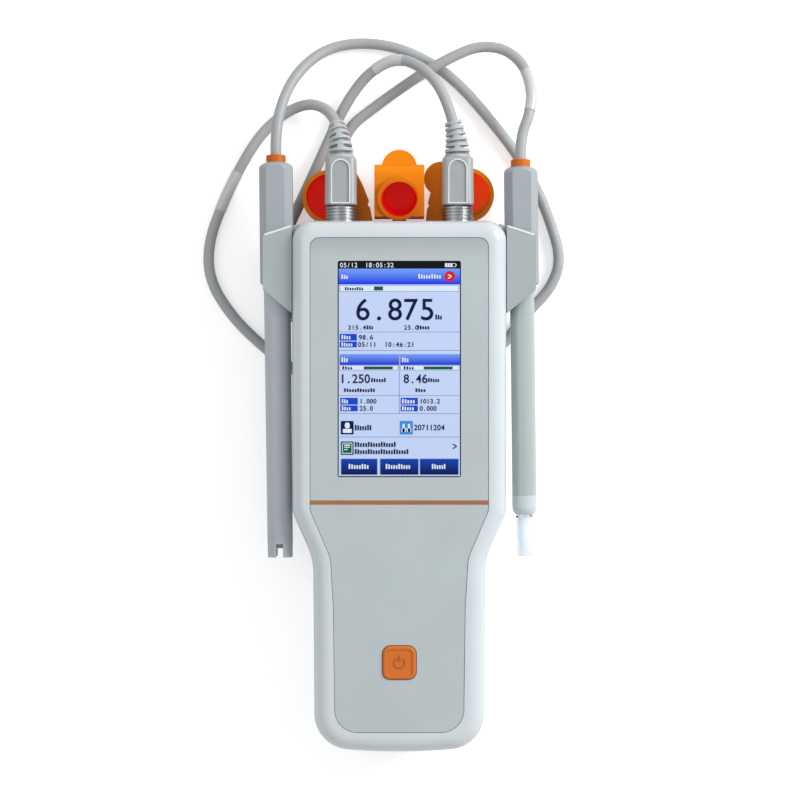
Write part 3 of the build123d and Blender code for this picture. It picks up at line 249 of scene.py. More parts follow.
# Cords: soft grey leads of 4.9 mm, each one length from its probe's collar, round on the table and
# into a plug's boot. Each is a tube round one smooth line, and follows its probe when that slides.
CORD_DIAMETER = 4.9
TABLE_Z = CORD_DIAMETER / 2
CORD_FOLLOWS = 190.0
LEFT_ROUTE = [
    (-55.47, 131.75, 22.5),
    (-55.58, 141.75, 22.5),
    (-53.4, 154.9, 18.9),
    (-48.6, 167.2, 12.6),
    (-40.2, 177.9, 6.2),
    (-29.6, 184.3, 2.6),
    (-15.5, 185.9, TABLE_Z),
    (0, 183.5, TABLE_Z),
    (15, 176.5, TABLE_Z),
    (28, 166.3, TABLE_Z),
    (39.8, 152.7, TABLE_Z),
    (52, 137.7, TABLE_Z),
    (62, 121.3, TABLE_Z),
    (69.2, 104.3, TABLE_Z),
    (74.4, 86.3, TABLE_Z),
    (69.5, 72.8, TABLE_Z),
    (59, 62.4, TABLE_Z),
    (45, 43.4, TABLE_Z),
    (24, 29.4, TABLE_Z),
    (0, 22.9, TABLE_Z),
    (-24, 24.9, TABLE_Z),
    (-46, 33.4, TABLE_Z),
    (-64, 47.4, TABLE_Z),
    (-77.5, 60.9, TABLE_Z),
    (-87.4, 77.3, TABLE_Z),
    (-87.6, 94.3, TABLE_Z),
    (-81, 112.3, TABLE_Z),
    (-73.5, 127.8, TABLE_Z),
    (-64.5, 142.8, TABLE_Z),
    (-53.8, 152.9, 3.2),
    (-43.0, 157.3, 6.2),
    (-35.6, 155.9, 8.9),
    (-30.03, 151.07, 12.32),
    (-28.36, 145.92, 16.11),
]
RIGHT_ROUTE = [
    (54.46, 129.75, 22.5),
    (54.34, 139.75, 22.5),
    (59.0, 151.3, 20.5),
    (60.0, 162.3, 16.8),
    (56.6, 173.9, 13.4),
    (48.2, 181.5, 11.6),
    (36, 182.9, 11.3),
    (23.8, 177.8, 11.6),
    (11.5, 170.8, 11.4),
    (-0.5, 163.5, 6.8),
    (-12.5, 155.3, 2.7),
    (-22.5, 147.7, TABLE_Z),
    (-27.6, 135.3, TABLE_Z),
    (-28.8, 118.3, TABLE_Z),
    (-26, 99.3, TABLE_Z),
    (-22.5, 80.3, TABLE_Z),
    (-27, 62.9, TABLE_Z),
    (-41.5, 56.4, TABLE_Z),
    (-55.5, 63.4, TABLE_Z),
    (-58.6, 79.3, TABLE_Z),
    (-53.5, 95.3, TABLE_Z),
    (-46.3, 110.8, TABLE_Z),
    (-39, 126.3, TABLE_Z),
    (-31.8, 142.3, TABLE_Z),
    (-25, 156.8, 5.0),
    (-14.5, 170.8, 9.5),
    (-1, 177.3, 15.0),
    (12, 171.2, 19.2),
    (20.86, 158.93, 20.28),
    (24.07, 146.96, 20.71),
]


def mesh_of(data):
    """The mesh of a curve or a text."""
    item = bpy.data.objects.new(data.name, data)
    scene.collection.objects.link(item)
    mesh = bpy.data.meshes.new_from_object(item.evaluated_get(bpy.context.evaluated_depsgraph_get()))
    bpy.data.objects.remove(item)
    return mesh


def tube(name, points, diameter, kind):
    """Round stock along points in metres: through them as POLY, or smoothly by them as NURBS."""
    data = bpy.data.curves.new(name, "CURVE")
    data.dimensions = "3D"
    data.resolution_u = 8
    line = data.splines.new(kind)
    line.points.add(len(points) - 1)
    for spot, point in zip(line.points, points):
        spot.co = (*point, 1.0)
    line.order_u = 3
    line.use_endpoint_u = True
    data.bevel_depth = diameter / 2
    data.bevel_resolution = 6
    data.use_fill_caps = diameter > 0
    return mesh_of(data)


def put(name, mesh, finish, smoothed):
    """Puts this mesh in the scene in a finish, with soft shading where smoothed."""
    mesh.materials.clear()
    mesh.materials.append(finish)
    if smoothed:
        for face in mesh.polygons:
            face.use_smooth = True
    item = bpy.data.objects.new(name, mesh)
    scene.collection.objects.link(item)
    return item


def share_at(along):
    """How much a spot this many metres along a lead goes with its probe, from 1 down to 0."""
    share = max(0.0, 1 - along / (CORD_FOLLOWS * MM))
    return share * share * (3 - 2 * share)


cord_finish = finish_of(
    "cord_jacket", linear(172, 175, 177), 0.45, spread=0.05, grain=4000.0, bump=0.05
)
cord_lines = {}
for side, route in (("left", LEFT_ROUTE), ("right", RIGHT_ROUTE)):
    name = f"lead_{side}"
    points = [vec(*point) for point in route]
    path = [vertex.co.copy() for vertex in tube(name + "_line", points, 0, "NURBS").vertices]
    reach = [0.0]
    for before, after in zip(path, path[1:]):
        reach.append(reach[-1] + (after - before).length)
    cord_lines[side] = path, reach
    lead = put(name, tube(name, points, CORD_DIAMETER * MM, "NURBS"), cord_finish, smoothed=True)
    nearest = kdtree.KDTree(len(path))
    for number, point in enumerate(path):
        nearest.insert(point, number)
    nearest.balance()
    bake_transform(lead, "root", f"probe_{side}", start=path[len(path) // 3], end=path[0])
    weights = lead.data.attributes["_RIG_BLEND"].data
    for vertex in lead.data.vertices:
        _, number, _ = nearest.find(vertex.co)
        weights[vertex.index].value = share_at(reach[number])
    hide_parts(f"cord_{side}")

# Cable sleeves: bare pale wraps of thin film, shrunk tight round the leads near their ends. Each
# is a short tube on its lead's own line, pressed flat on the table, and goes where the lead goes.
SLEEVE_WALL = 0.22
SLEEVES = {
    "sleeve_right_probe": ("right", 22.0, 44.0),
    "sleeve_left_plug": ("left", 462.0, 484.0),
    "sleeve_right_plug": ("right", 374.0, 390.0),
}
sleeve_finish = finish_of(
    "sleeve_film", linear(204, 207, 209), 0.2, spread=0.02, bump=0.01, Coat_Weight=0.6
)
for name, (side, start, end) in SLEEVES.items():
    path, reach = cord_lines[side]
    stretch = [spot for spot, here in zip(path, reach) if start * MM <= here <= end * MM]
    mesh = tube(name, stretch, (CORD_DIAMETER + 2 * SLEEVE_WALL) * MM, "POLY")
    for vertex in mesh.vertices:
        vertex.co.z = max(vertex.co.z, 0.0)
    sleeve = put(name, mesh, sleeve_finish, smoothed=True)
    if start < CORD_FOLLOWS:
        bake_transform(sleeve, "root", f"probe_{side}", start=path[-1], end=path[0])
        for spot in mesh.attributes["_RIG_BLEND"].data:
            spot.value = share_at((start + end) / 2 * MM)
    else:
        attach(sleeve, "root")


# Case: two moulded halves of pale plastic that screw together, the front one glossy with a rounded
# crown, the rear one satin with the battery hump under it.
def dress(finish, *names):
    """Gives these carried-over pieces a finish."""
    for name in names:
        holder = nodes[name].data.materials
        holder.clear()
        holder.append(finish)


frame_gloss = finish_of(
    "frame_gloss", linear(213, 222, 226), 0.2, spread=0.015, grain=900.0, bump=0.006, Coat_Weight=0.5
)
rear_satin = finish_of(
    "rear_satin", linear(205, 213, 216), 0.42, spread=0.03, grain=3200.0, bump=0.09
)
dress(frame_gloss, "front_frame")
dress(rear_satin, "rear_case", "battery_cover")

# Front plates: two satin overlays of grey-blue plastic let into the frame, with a strip of
# brushed copper between them. All three are bonded in place.
# The upper plate has painted shade along its top, under the frame's rim.
PAINTED_SHADE_REACH = 9.0
PAINTED_SHADE_STRENGTH = 0.8
upper_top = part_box("upper_panel")[1].y


def painted_rim_shade(point, tinted):
    """Painted shade: a little darker under the frame's upper rim, where the plate sits deepest."""
    shade = point.split("Y").ramp(upper_top - PAINTED_SHADE_REACH * MM, upper_top) * PAINTED_SHADE_STRENGTH
    return tinted.over(shade, linear(162, 172, 174))


def brushed(point, tinted):
    """Fine lines drawn along the strip."""
    drawn = point.node("ShaderNodeMapping", Scale=(60.0, 6000.0, 60.0), Vector=point)
    return tinted.over(drawn.noise(1.0, 2.0).ramp(0.4, 0.75) * 0.3, linear(212, 158, 118))


panel_satin = finish_of(
    "panel_satin", linear(187, 198, 201), 0.5, spread=0.02, grain=4200.0, bump=0.08, paint=painted_rim_shade
)
copper = finish_of(
    "copper_strip", linear(184, 119, 74), 0.35, spread=0.05, bump=0.02, paint=brushed, Metallic=0.55
)
dress(panel_satin, "upper_panel", "lower_panel")
dress(copper, "accent_strip")

# Screen: a black-edged glass with the lit display behind it, 272 by 480 dots. The display shows
# plain figures, rows of blocks for words and coloured tabs, each a thin tile on the glass.
DOTS_WIDE = 272
DOTS_HIGH = 480
lens_low, lens_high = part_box("screen_lens")
DOT_X = (lens_high.x - lens_low.x) / DOTS_WIDE
DOT_Y = (lens_high.y - lens_low.y) / DOTS_HIGH
TILE = 0.03
TILE_CORNER = 0.35
HEAD_CORNER = 0.9
FIGURE_RISE = 0.69
FIGURE_SHARE = 0.86
FIGURE_DEPTH = 0.01
LETTER_PITCH = 5.6
LETTER_SHARE = 0.62
LETTER_DROPS = (0.0, 0.26, 0.26, 0.1, 0.26)
KEY_EDGE = 1.2
lens_black = finish_of(
    "lens_black", linear(16, 18, 28), 0.1, spread=0.03, bump=0.0, Specular_IOR_Level=0.2
)
dress(lens_black, "screen_lens", "display_module")


def piece(name, bm, finish, body="root", smoothed=False):
    """A modelled piece: its mesh, its finish and the body it moves with."""
    mesh = bpy.data.meshes.new(name)
    bm.to_mesh(mesh)
    bm.free()
    item = put(name, mesh, finish, smoothed)
    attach(item, body)
    return item


def lit(name, colour, to=None, top=0, low=1):
    """A lit area of the display, even or shaded from top to low in dots."""

    def shaded(point, tinted):
        start = lens_high.y - top * DOT_Y
        end = lens_high.y - low * DOT_Y
        return tinted.over(point.split("Y").ramp(start, end), linear(*to))

    return finish_of(
        name,
        linear(*colour),
        0.16,
        spread=0.006,
        bump=0.0,
        paint=shaded if to else None,
        Specular_IOR_Level=0.15,
    )


def at_dot(across, down, layer):
    """The place of a dot of the display, this many tiles above the glass."""
    return Vector((lens_low.x + across * DOT_X, lens_high.y - down * DOT_Y, lens_high.z + layer * TILE * MM))


def tiles(name, finish, layer, boxes, corner=0.0):
    """Tiles of the display, each from its left, top, right and low edge in dots."""
    bm = bmesh.new()
    for left, top, right, low in boxes:
        middle = at_dot((left + right) / 2, (top + low) / 2, layer + 0.5)
        size = Matrix.Diagonal(((right - left) * DOT_X, (low - top) * DOT_Y, TILE * MM, 1.0))
        bmesh.ops.create_cube(bm, size=1.0, matrix=Matrix.Translation(middle) @ size)
    if corner:
        upright = [edge for edge in bm.edges if abs(edge.verts[0].co.z - edge.verts[1].co.z) > 1e-6]
        bmesh.ops.bevel(
            bm, geom=upright, offset=corner * MM, segments=3, affect="EDGES", profile=0.5, material=-1
        )
    return piece(name, bm, finish)


def within(boxes, edge):
    """These boxes with an edge taken off all round."""
    return [(left + edge, top + edge, right - edge, low - edge) for left, top, right, low in boxes]


def figures(name, finish, layer, entries, weight=0.0):
    """Plain figures on the display, one to a cell, from left, top, the cell's width and the height."""
    bm = bmesh.new()
    for text, left, top, cell, height in entries:
        for place, sign in enumerate(text):
            if sign == " ":
                continue
            data = bpy.data.curves.new(name, "FONT")
            data.body = sign
            data.extrude = FIGURE_DEPTH
            data.offset = weight
            mesh = mesh_of(data)
            across = [vertex.co.x for vertex in mesh.vertices]
            middle = (min(across) + max(across)) / 2
            scale = height * DOT_Y / FIGURE_RISE
            narrow = min(scale, FIGURE_SHARE * cell * DOT_X / (max(across) - min(across)))
            foot = at_dot(left + (place + 0.5) * cell, top + height, layer + 0.5)
            mesh.transform(
                Matrix.Translation(foot)
                @ Matrix.Diagonal((narrow, scale, TILE * MM / (2 * FIGURE_DEPTH), 1.0))
                @ Matrix.Translation((-middle, 0, 0))
            )
            bm.from_mesh(mesh)
    return piece(name, bm, finish)


def words_of(spans):
    """Small blocks in a row for each word, so that the display reads as written on from afar."""
    blocks = []
    for left, top, right, low in spans:
        count = max(2, round((right - left) / LETTER_PITCH))
        pitch = (right - left) / count
        for number in range(count):
            drop = LETTER_DROPS[number * 3 % len(LETTER_DROPS)] * (low - top)
            start = left + number * pitch
            blocks.append((start, top + drop, start + pitch * LETTER_SHARE, low))
    return blocks


ground = lit("display_ground", (198, 215, 251))
black = lit("display_black", (14, 17, 30))
navy = lit("display_navy", (13, 28, 74))
green = lit("display_green", (22, 96, 68))
pale = lit("display_pale", (226, 237, 255))
red = lit("display_red", (214, 40, 44))
line_blue = lit("display_line", (122, 146, 196))
title_blue = lit("title_blue", (118, 160, 252), (8, 48, 236), 17, 52)
header_blue = lit("header_blue", (118, 158, 250), (6, 40, 214), 207, 231)
tag_blue = lit("tag_blue", (30, 74, 205))
key_blue = lit("soft_key_blue", (24, 70, 178), (10, 18, 66), 439, 476)
icon_blue = lit("icon_blue", (66, 142, 226))
tiles("display_field", ground, 0, [(2, 17, 270, 478)])
tiles("display_title", title_blue, 1, [(2, 17, 270, 52)])
tiles("display_headers", header_blue, 1, [(4, 207, 135, 231), (138, 207, 270, 231)])
rules = [(3, 157.3, 269, 158.5), (3, 198.3, 269, 199.5), (3, 298.5, 269, 299.6)]
rules += [(3, 338.5, 269, 339.7), (3, 390.5, 269, 391.7), (135.4, 206, 136.8, 339)]
tiles("display_rules", line_blue, 1, rules)
rows = [(4, 54, 268, 68), (4, 232, 133, 243), (138, 232, 268, 243)]
tiles("display_rows", line_blue, 1, rows)
tiles("display_row_fill", pale, 2, within(rows, 1))
levels = [(80, 56.5, 100, 65.5), (57.5, 234.5, 121.6, 241), (190, 234.5, 254, 241)]
tiles("display_levels", green, 3, levels)
tags = [(4, 162, 42, 177), (4, 179, 42, 192), (5.5, 304, 44, 319), (5.5, 321, 44, 334)]
tags += [(139, 304, 177, 319), (139, 321, 177, 334)]
tiles("display_tags", tag_blue, 1, tags)
tiles("display_user_icon", navy, 1, [(6.6, 355.5, 35, 385.5)], TILE_CORNER)
tiles("display_drop_icon", icon_blue, 1, [(137, 355.5, 166, 385.5)], TILE_CORNER)
tiles("display_mode_icon", green, 1, [(6.6, 401, 35, 431)], TILE_CORNER)
soft_keys = [(6.6, 439, 88, 475.5), (93, 439, 179, 475.5), (181, 439, 267.5, 475.5)]
tiles("display_key_edges", line_blue, 1, soft_keys, TILE_CORNER)
tiles("display_keys", key_blue, 2, within(soft_keys, KEY_EDGE), TILE_CORNER)
words = [(16, 58, 58, 65), (10, 234, 34, 241), (146, 234, 170, 241)]
words += [(38, 402, 130, 413), (38, 418, 158, 429), (38, 364, 76, 376)]
words += [(14, 283, 84, 291), (172, 283, 196, 291), (216, 119, 232, 130), (74, 260, 108, 269)]
words += [(200, 260, 226, 269), (64, 143, 80, 152), (176, 143, 204, 152)]
tiles("display_words", navy, 4, words_of(words))
key_words = [(24, 451, 70, 462), (106, 451, 162, 462), (208, 451, 240, 462), (178, 29, 230, 39)]
key_words += [(8, 164.5, 30, 174), (8, 181, 34, 190), (9, 306.5, 24, 316.5), (9, 323, 30, 332)]
key_words += [(142, 306.5, 172, 316.5), (142, 323, 170, 332), (8, 30, 24, 40), (8, 214, 24, 225)]
key_words += [(142, 214, 158, 225)]
tiles("display_key_words", pale, 4, words_of(key_words))
figures("display_status", pale, 2, [("05/12  18:05:32", 4, 4, 8.0, 10)], 0.01)
tiles("display_battery", pale, 1, [(237, 5, 261, 13.5), (261, 7.5, 263, 11)])
tiles("display_battery_gaps", black, 2, [(242, 6, 243, 12.5), (248, 6, 249, 12.5), (254, 6, 260, 12.5)])
figures("display_reading", navy, 4, [("6.875", 38, 84, 35.5, 47)], 0.004)
side_readings = [("1.250", 4, 252, 13.6, 19), ("8.46", 145, 252, 13.6, 19)]
figures("display_side_readings", navy, 4, side_readings, 0.012)
small = [("215.4", 22, 143, 8.2, 9.5), ("25.0", 146, 143, 8.2, 9.5), ("98.6", 46, 164.5, 8.2, 10)]
small += [("05/11  10:46:21", 44, 180.5, 8.4, 10), ("1.000", 48, 306.5, 7.6, 10)]
small += [("25.0", 48, 322.5, 7.6, 10), ("1013.2", 181, 306.5, 7.6, 10)]
small += [("0.000", 181, 322.5, 7.6, 10), ("20711204", 168, 364, 8.6, 12)]
figures("display_small_figures", navy, 4, small, 0.015)
tiles("display_user_shoulders", pale, 2, [(11, 373, 31, 382)], TILE_CORNER)
tiles("display_user_head", pale, 3, [(15.5, 359, 26.5, 372)], HEAD_CORNER)
drop_bars = [(143, 362, 148, 380), (155, 362, 160, 380), (141, 372, 162, 380)]
tiles("display_drop_bars", pale, 2, drop_bars)
tiles("display_drop_mark", icon_blue, 3, [(150.5, 374, 153, 380)])
tiles("display_mode_rim", pale, 2, [(9.5, 404, 32, 428)], TILE_CORNER)
tiles("display_mode_face", green, 3, [(11, 405.6, 30.5, 426.4)], TILE_CORNER)
mode_bars = [(14, 408, 27, 411), (14, 413, 27, 415), (14, 418, 22, 420)]
tiles("display_mode_bars", pale, 4, mode_bars)

DISC_X = 247.6
DISC_Y = 34.4
DISC_RADIUS = 12
ARROW_STROKE = 2.4
ARROW_TURN = 28.0
disc = bmesh.new()
bmesh.ops.create_cone(
    disc,
    cap_ends=True,
    segments=32,
    radius1=DISC_RADIUS * DOT_X,
    radius2=DISC_RADIUS * DOT_X,
    depth=TILE * MM,
    matrix=Matrix.Translation(at_dot(DISC_X, DISC_Y, 2.5)),
)
piece("display_disc", disc, red)
arrows = {"display_disc_arrow": (pale, DISC_X, DISC_Y, 9.0)}
arrows["display_chevron"] = (navy, 258.7, 412.0, 10.0)
for name, (finish, across, down, size) in arrows.items():
    arrow = bmesh.new()
    for way in (-1, 1):
        middle = at_dot(across, down + way * size / 4, 3.5)
        turn = Matrix.Rotation(way * math.radians(ARROW_TURN), 4, "Z")
        stroke = Matrix.Diagonal((size * DOT_X, ARROW_STROKE * DOT_Y, TILE * MM, 1.0))
        bmesh.ops.create_cube(arrow, size=1.0, matrix=Matrix.Translation(middle) @ turn @ stroke)
    piece(name, arrow, finish)

# Power key: an orange moulded cap that stands a little proud, with a dished top and the usual
# ring-and-bar sign raised in the dish. It snaps in from behind the front frame.
DISH_DEPTH = 0.45
SIGN_RADIUS = 2.35
SIGN_WIDTH = 0.32
SIGN_GAP = 70.0
BAR_UP = 0.85
BAR_LENGTH = 1.1
key_orange = finish_of(
    "key_orange",
    linear(216, 116, 46),
    0.32,
    spread=0.03,
    grain=1800.0,
    bump=0.03,
    Specular_IOR_Level=0.35,
)
dress(key_orange, "power_key")
key_low, key_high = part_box("power_key")
sign_middle = (key_low + key_high) / 2
sign_middle.z = key_high.z - DISH_DEPTH * MM
sign = bmesh.new()
ring_end = (
    Matrix.Translation(sign_middle)
    @ Matrix.Rotation(math.radians(90 + SIGN_GAP / 2), 4, "Z")
    @ Matrix.Translation(vec(SIGN_RADIUS, 0))
    @ Matrix.Rotation(math.radians(90), 4, "X")
)
bmesh.ops.create_circle(sign, cap_ends=True, segments=8, radius=SIGN_WIDTH * MM, matrix=ring_end)
bmesh.ops.spin(
    sign,
    geom=sign.verts[:] + sign.edges[:] + sign.faces[:],
    cent=sign_middle,
    axis=(0, 0, 1),
    angle=math.radians(360 - SIGN_GAP),
    steps=36,
)
bar_place = Matrix.Translation(sign_middle + vec(0, SIGN_RADIUS * BAR_UP))
bar_size = Matrix.Diagonal(
    (2 * SIGN_WIDTH * MM, SIGN_RADIUS * BAR_LENGTH * MM, 2 * SIGN_WIDTH * MM, 1.0)
)
bmesh.ops.create_cube(sign, size=1.0, matrix=bar_place @ bar_size)
bmesh.ops.recalc_face_normals(sign, faces=sign.faces[:])
sign_shade = finish_of("key_sign", linear(186, 96, 44), 0.35, spread=0.03, bump=0.0)
piece("power_sign", sign, sign_shade, "power_key")

# Sockets: nickel-plated barrels with a coarse thread, each held in the head by a nut inside. The
# plug's nose goes into the bore.
BORE_RADIUS = 5.0
FLOOR_HOLE = 3.5
BORE_FLOOR = 4.0
NECK_RADIUS = 6.0
BARREL_REACH = 10.2
MOUTH_CHAMFER = 0.6
SHOULDER_STEP = 0.1
THREAD_PITCH = 1.45
THREAD_DEPTH = 0.45
FIRST_CREST = 0.5
CREST_SHARE = 0.45
ROOT_SHARES = (0.6, 0.85)
steel = finish_of("nickel", linear(176, 178, 180), 0.3, spread=0.06, bump=0.03, Metallic=0.9)
dark_plastic = finish_of("dark_plastic", linear(52, 56, 60), 0.45, spread=0.08, bump=0.05)


def turned(points, centre, axis, steps):
    """A turned body, from the points of its closed outline on one side of the axis."""
    bm = bmesh.new()
    spots = [bm.verts.new(point) for point in points]
    for here, after in zip(spots, spots[1:] + spots[:1]):
        bm.edges.new((here, after))
    outline = bm.verts[:] + bm.edges[:]
    bmesh.ops.spin(
        bm, geom=outline, cent=centre, axis=axis, angle=math.tau, steps=steps, use_merge=True
    )
    bmesh.ops.remove_doubles(bm, verts=bm.verts[:], dist=1e-6)
    bmesh.ops.recalc_face_normals(bm, faces=bm.faces[:])
    return bm


for name in ("left", "right"):
    low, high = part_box(f"socket_{name}")
    middle = (low + high) / 2
    outer = (high.x - low.x) / 2 / MM
    root = outer - THREAD_DEPTH
    inner_y = low.y / MM
    front_y = high.y / MM
    face_y = front_y - BARREL_REACH
    profile = [(BORE_RADIUS, inner_y + BORE_FLOOR), (BORE_RADIUS, front_y), (outer - MOUTH_CHAMFER, front_y)]
    for ridge in range(int(BARREL_REACH / THREAD_PITCH)):
        crest = front_y - FIRST_CREST - ridge * THREAD_PITCH
        profile += [(outer, crest), (outer, crest - THREAD_PITCH * CREST_SHARE)]
        profile += [(root, crest - THREAD_PITCH * share) for share in ROOT_SHARES]
    profile += [(outer - SHOULDER_STEP, face_y), (NECK_RADIUS, face_y), (NECK_RADIUS, inner_y)]
    profile += [(FLOOR_HOLE, inner_y), (FLOOR_HOLE, inner_y + BORE_FLOOR)]
    outline = [(middle.x + radius * MM, y * MM, middle.z) for radius, y in profile]
    barrel = turned(outline, (middle.x, 0, middle.z), (0, 1, 0), 56)
    made = piece(f"socket_barrel_{name}", barrel, steel)
    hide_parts(f"socket_{name}")
dress(steel, "socket_nuts", "case_screws", "cover_screws", "board_screws", "holder_screws")
dress(steel, "battery_contacts")
dress(dark_plastic, "temperature_port")

# Plugs: satin silver mouldings with an arched thumb panel on the front, outlined by a fine white
# rib, and soft slotted boots that carry the bend of the lead.
ARCH_WIDTH = 8.7
ARCH_START = 0.9
ARCH_END = 1.1
ARCH_STEPS = 12
RIB_WIDTH = 0.55
RIB_DEPTH = 0.5
RIB_PROUD = 0.075
plug_satin = finish_of("plug_satin", linear(170, 175, 178), 0.36, spread=0.03, bump=0.04, Metallic=0.1)
plug_rib = finish_of("plug_rib", linear(236, 238, 240), 0.3, spread=0.01, bump=0.0)
boot_grey = finish_of("boot_grey", linear(186, 191, 193), 0.5, spread=0.04, bump=0.06)
dress(plug_satin, "plug_left", "plug_right")
dress(boot_grey, "boot_left", "boot_right")
for name in ("left", "right"):
    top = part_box(f"plug_{name}")[1]
    socket_low, socket_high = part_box(f"socket_{name}")
    middle_x = (socket_low.x + socket_high.x) / 2
    base_y = socket_high.y + ARCH_START * MM
    arch_y = top.y - (ARCH_END + ARCH_WIDTH / 2) * MM
    half = ARCH_WIDTH / 2 * MM
    arch = bmesh.new()
    outline = [arch.verts.new((middle_x + half, base_y, top.z))]
    for step in range(ARCH_STEPS + 1):
        angle = math.pi * step / ARCH_STEPS
        spot = (middle_x + half * math.cos(angle), arch_y + half * math.sin(angle), top.z)
        outline.append(arch.verts.new(spot))
    outline.append(arch.verts.new((middle_x - half, base_y, top.z)))
    plate = arch.faces.new(outline)
    arch.normal_update()
    rim = bmesh.ops.inset_region(
        arch, faces=[plate], thickness=RIB_WIDTH * MM, use_boundary=True, use_even_offset=True
    )["faces"]
    bmesh.ops.delete(arch, geom=[plate], context="FACES_ONLY")
    lowered = bmesh.ops.extrude_face_region(arch, geom=rim)["geom"]
    for vertex in (part for part in lowered if isinstance(part, bmesh.types.BMVert)):
        vertex.co.z -= RIB_DEPTH * MM
    for vertex in arch.verts:
        vertex.co.z += RIB_PROUD * MM
    bmesh.ops.recalc_face_normals(arch, faces=arch.faces[:])
    piece(f"plug_rib_{name}", arch, plug_rib)

# Probes: square handles with broad chamfers and an orange collar, one grey shaft with a slotted
# guard, and one clear shaft with a pale cap and a small glass cell. All are push-fitted and glued.
PROBE_LEAN = 0.65
FILLING_RADIUS = 2.3
FILLING_FOOT = 2.2
FILLING_HEAD = 0.48
CELL_MARKS = ((-3.6, 0.9, 0.5), (0.0, -0.6, 0.7), (2.7, 0.5, 0.45))
MARK_UP = 3.2
handle_grey = finish_of(
    "handle_grey", linear(166, 173, 178), 0.45, spread=0.025, grain=3600.0, bump=0.07
)
shaft_grey = finish_of(
    "shaft_grey", linear(186, 193, 199), 0.42, spread=0.025, grain=3600.0, bump=0.06
)
collar_orange = finish_of(
    "collar_orange", linear(206, 104, 10), 0.38, spread=0.04, bump=0.03, Specular_IOR_Level=0.3
)
guard_grey = finish_of("guard_grey", linear(182, 190, 195), 0.45, spread=0.04, bump=0.05)
tip_pale = finish_of("tip_pale", linear(204, 214, 216), 0.3, spread=0.02, bump=0.02, Coat_Weight=0.4)
shaft_clear = finish_of(
    "shaft_clear",
    linear(186, 198, 199),
    0.14,
    spread=0.02,
    bump=0.0,
    Coat_Weight=0.8,
    Transmission_Weight=0.12,
)
glass = finish_of(
    "cell_glass", (0.88, 0.94, 0.98), 0.04, spread=0.005, bump=0.0, Alpha=0.32, Coat_Weight=1.0
)
membrane_film = finish_of(
    "membrane_film", linear(138, 143, 146), 0.2, spread=0.05, bump=0.0, Coat_Weight=0.5
)
# The cell's filling and the electrodes glow faintly, as painted light, so that they look bright behind the
# glass.
filling_pale_glowing = finish_of(
    "cell_filling",
    (0.9, 0.96, 1.0),
    0.3,
    spread=0.005,
    bump=0.0,
    Emission_Color=(0.8, 0.9, 1.0, 1.0),
    Emission_Strength=0.25,
    Specular_IOR_Level=0.2,
)
dress(handle_grey, "probe_handle_left", "probe_handle_right")
dress(collar_orange, "probe_collar_left", "probe_collar_right")
dress(shaft_grey, "probe_shaft_left")
dress(guard_grey, "probe_guard_left")
dress(membrane_film, "membrane_left")
dress(shaft_clear, "probe_shaft_right")
dress(tip_pale, "tip_cap_right")
dress(glass, "cell_tube_right")
dress(filling_pale_glowing, "electrodes_right")

low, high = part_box("cell_tube_right")
cap_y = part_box("tip_cap_right")[0].y
cell_middle = (low + high) / 2
bottom = low.y + FILLING_FOOT * MM
length = cap_y - FILLING_HEAD * MM - bottom
stretched = length / 2 - FILLING_RADIUS * MM
filling = bmesh.new()
bmesh.ops.create_uvsphere(filling, u_segments=24, v_segments=16, radius=FILLING_RADIUS * MM)
for vertex in filling.verts:
    if abs(vertex.co.z) > 1e-7:
        vertex.co.z += math.copysign(stretched, vertex.co.z)
middle_y = bottom + length / 2
shift_x = (cell_middle.y - middle_y) * math.tan(math.radians(PROBE_LEAN))
place = Matrix.Translation((cell_middle.x + shift_x, middle_y, cell_middle.z))
lean = Matrix.Rotation(math.radians(PROBE_LEAN), 4, "Z")
lying = Matrix.Rotation(math.radians(90), 4, "X")
bmesh.ops.transform(filling, matrix=place @ lean @ lying, verts=filling.verts[:])
piece("cell_filling", filling, filling_pale_glowing, "probe_right", smoothed=True)
marks = bmesh.new()
for across, drop, size in CELL_MARKS:
    spot = Vector((cell_middle.x, cap_y, cell_middle.z)) + vec(across, -drop, MARK_UP)
    shape = Matrix.Translation(spot) @ Matrix.Diagonal((1.3, 0.8, 0.8, 1))
    bmesh.ops.create_icosphere(marks, subdivisions=2, radius=size * MM, matrix=shape)
piece("cell_marks", marks, dark_plastic, "probe_right", smoothed=True)

# Probe holders: moulded grey-green brackets screwed to the head's sides, each with a fine bead along its top
# and its lower edge. The top bead is white, a painted highlight along the edge.
BEAD_INNER = 48.1
BEAD_SHORT = 0.8
BEAD_RISE = 0.2
BEAD_ROUND = 0.12
BEADS = {"top": (99.59, 95.75, 0.9), "low": (60.63, 70.55, 0.6)}
holder_green = finish_of(
    "holder_green", linear(172, 181, 182), 0.38, spread=0.02, grain=3000.0, bump=0.05
)
bead_painted_highlight = finish_of("bead_painted_highlight", linear(238, 242, 243), 0.3, spread=0.01, bump=0.0)
dress(holder_green, "holder_left", "holder_right")
for name, side in (("left", -1), ("right", 1)):
    low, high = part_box(f"holder_{name}")
    outer_x = max(abs(low.x), abs(high.x)) / MM - BEAD_SHORT
    for edge, (inner_y, outer_y, width) in BEADS.items():
        start = vec(side * BEAD_INNER, inner_y)
        end = vec(side * outer_x, outer_y)
        middle = (start + end) / 2
        middle.y += (-1 if edge == "top" else 1) * width / 2 * MM
        middle.z = high.z
        along = end - start
        turn = Matrix.Rotation(math.atan2(along.y, along.x), 4, "Z")
        size = Matrix.Diagonal((along.length, width * MM, 2 * BEAD_RISE * MM, 1.0))
        bead = bmesh.new()
        bmesh.ops.create_cube(bead, size=1.0, matrix=Matrix.Translation(middle) @ turn @ size)
        bmesh.ops.bevel(
            bead,
            geom=bead.edges[:],
            offset=BEAD_ROUND * MM,
            segments=2,
            affect="EDGES",
            profile=0.5,
            material=-1,
        )
        # The top bead is white as a painted highlight. The lower bead is the holder's own green.
        bead_finish = bead_painted_highlight if edge == "top" else holder_green
        piece(f"holder_bead_{edge}_{name}", bead, bead_finish)
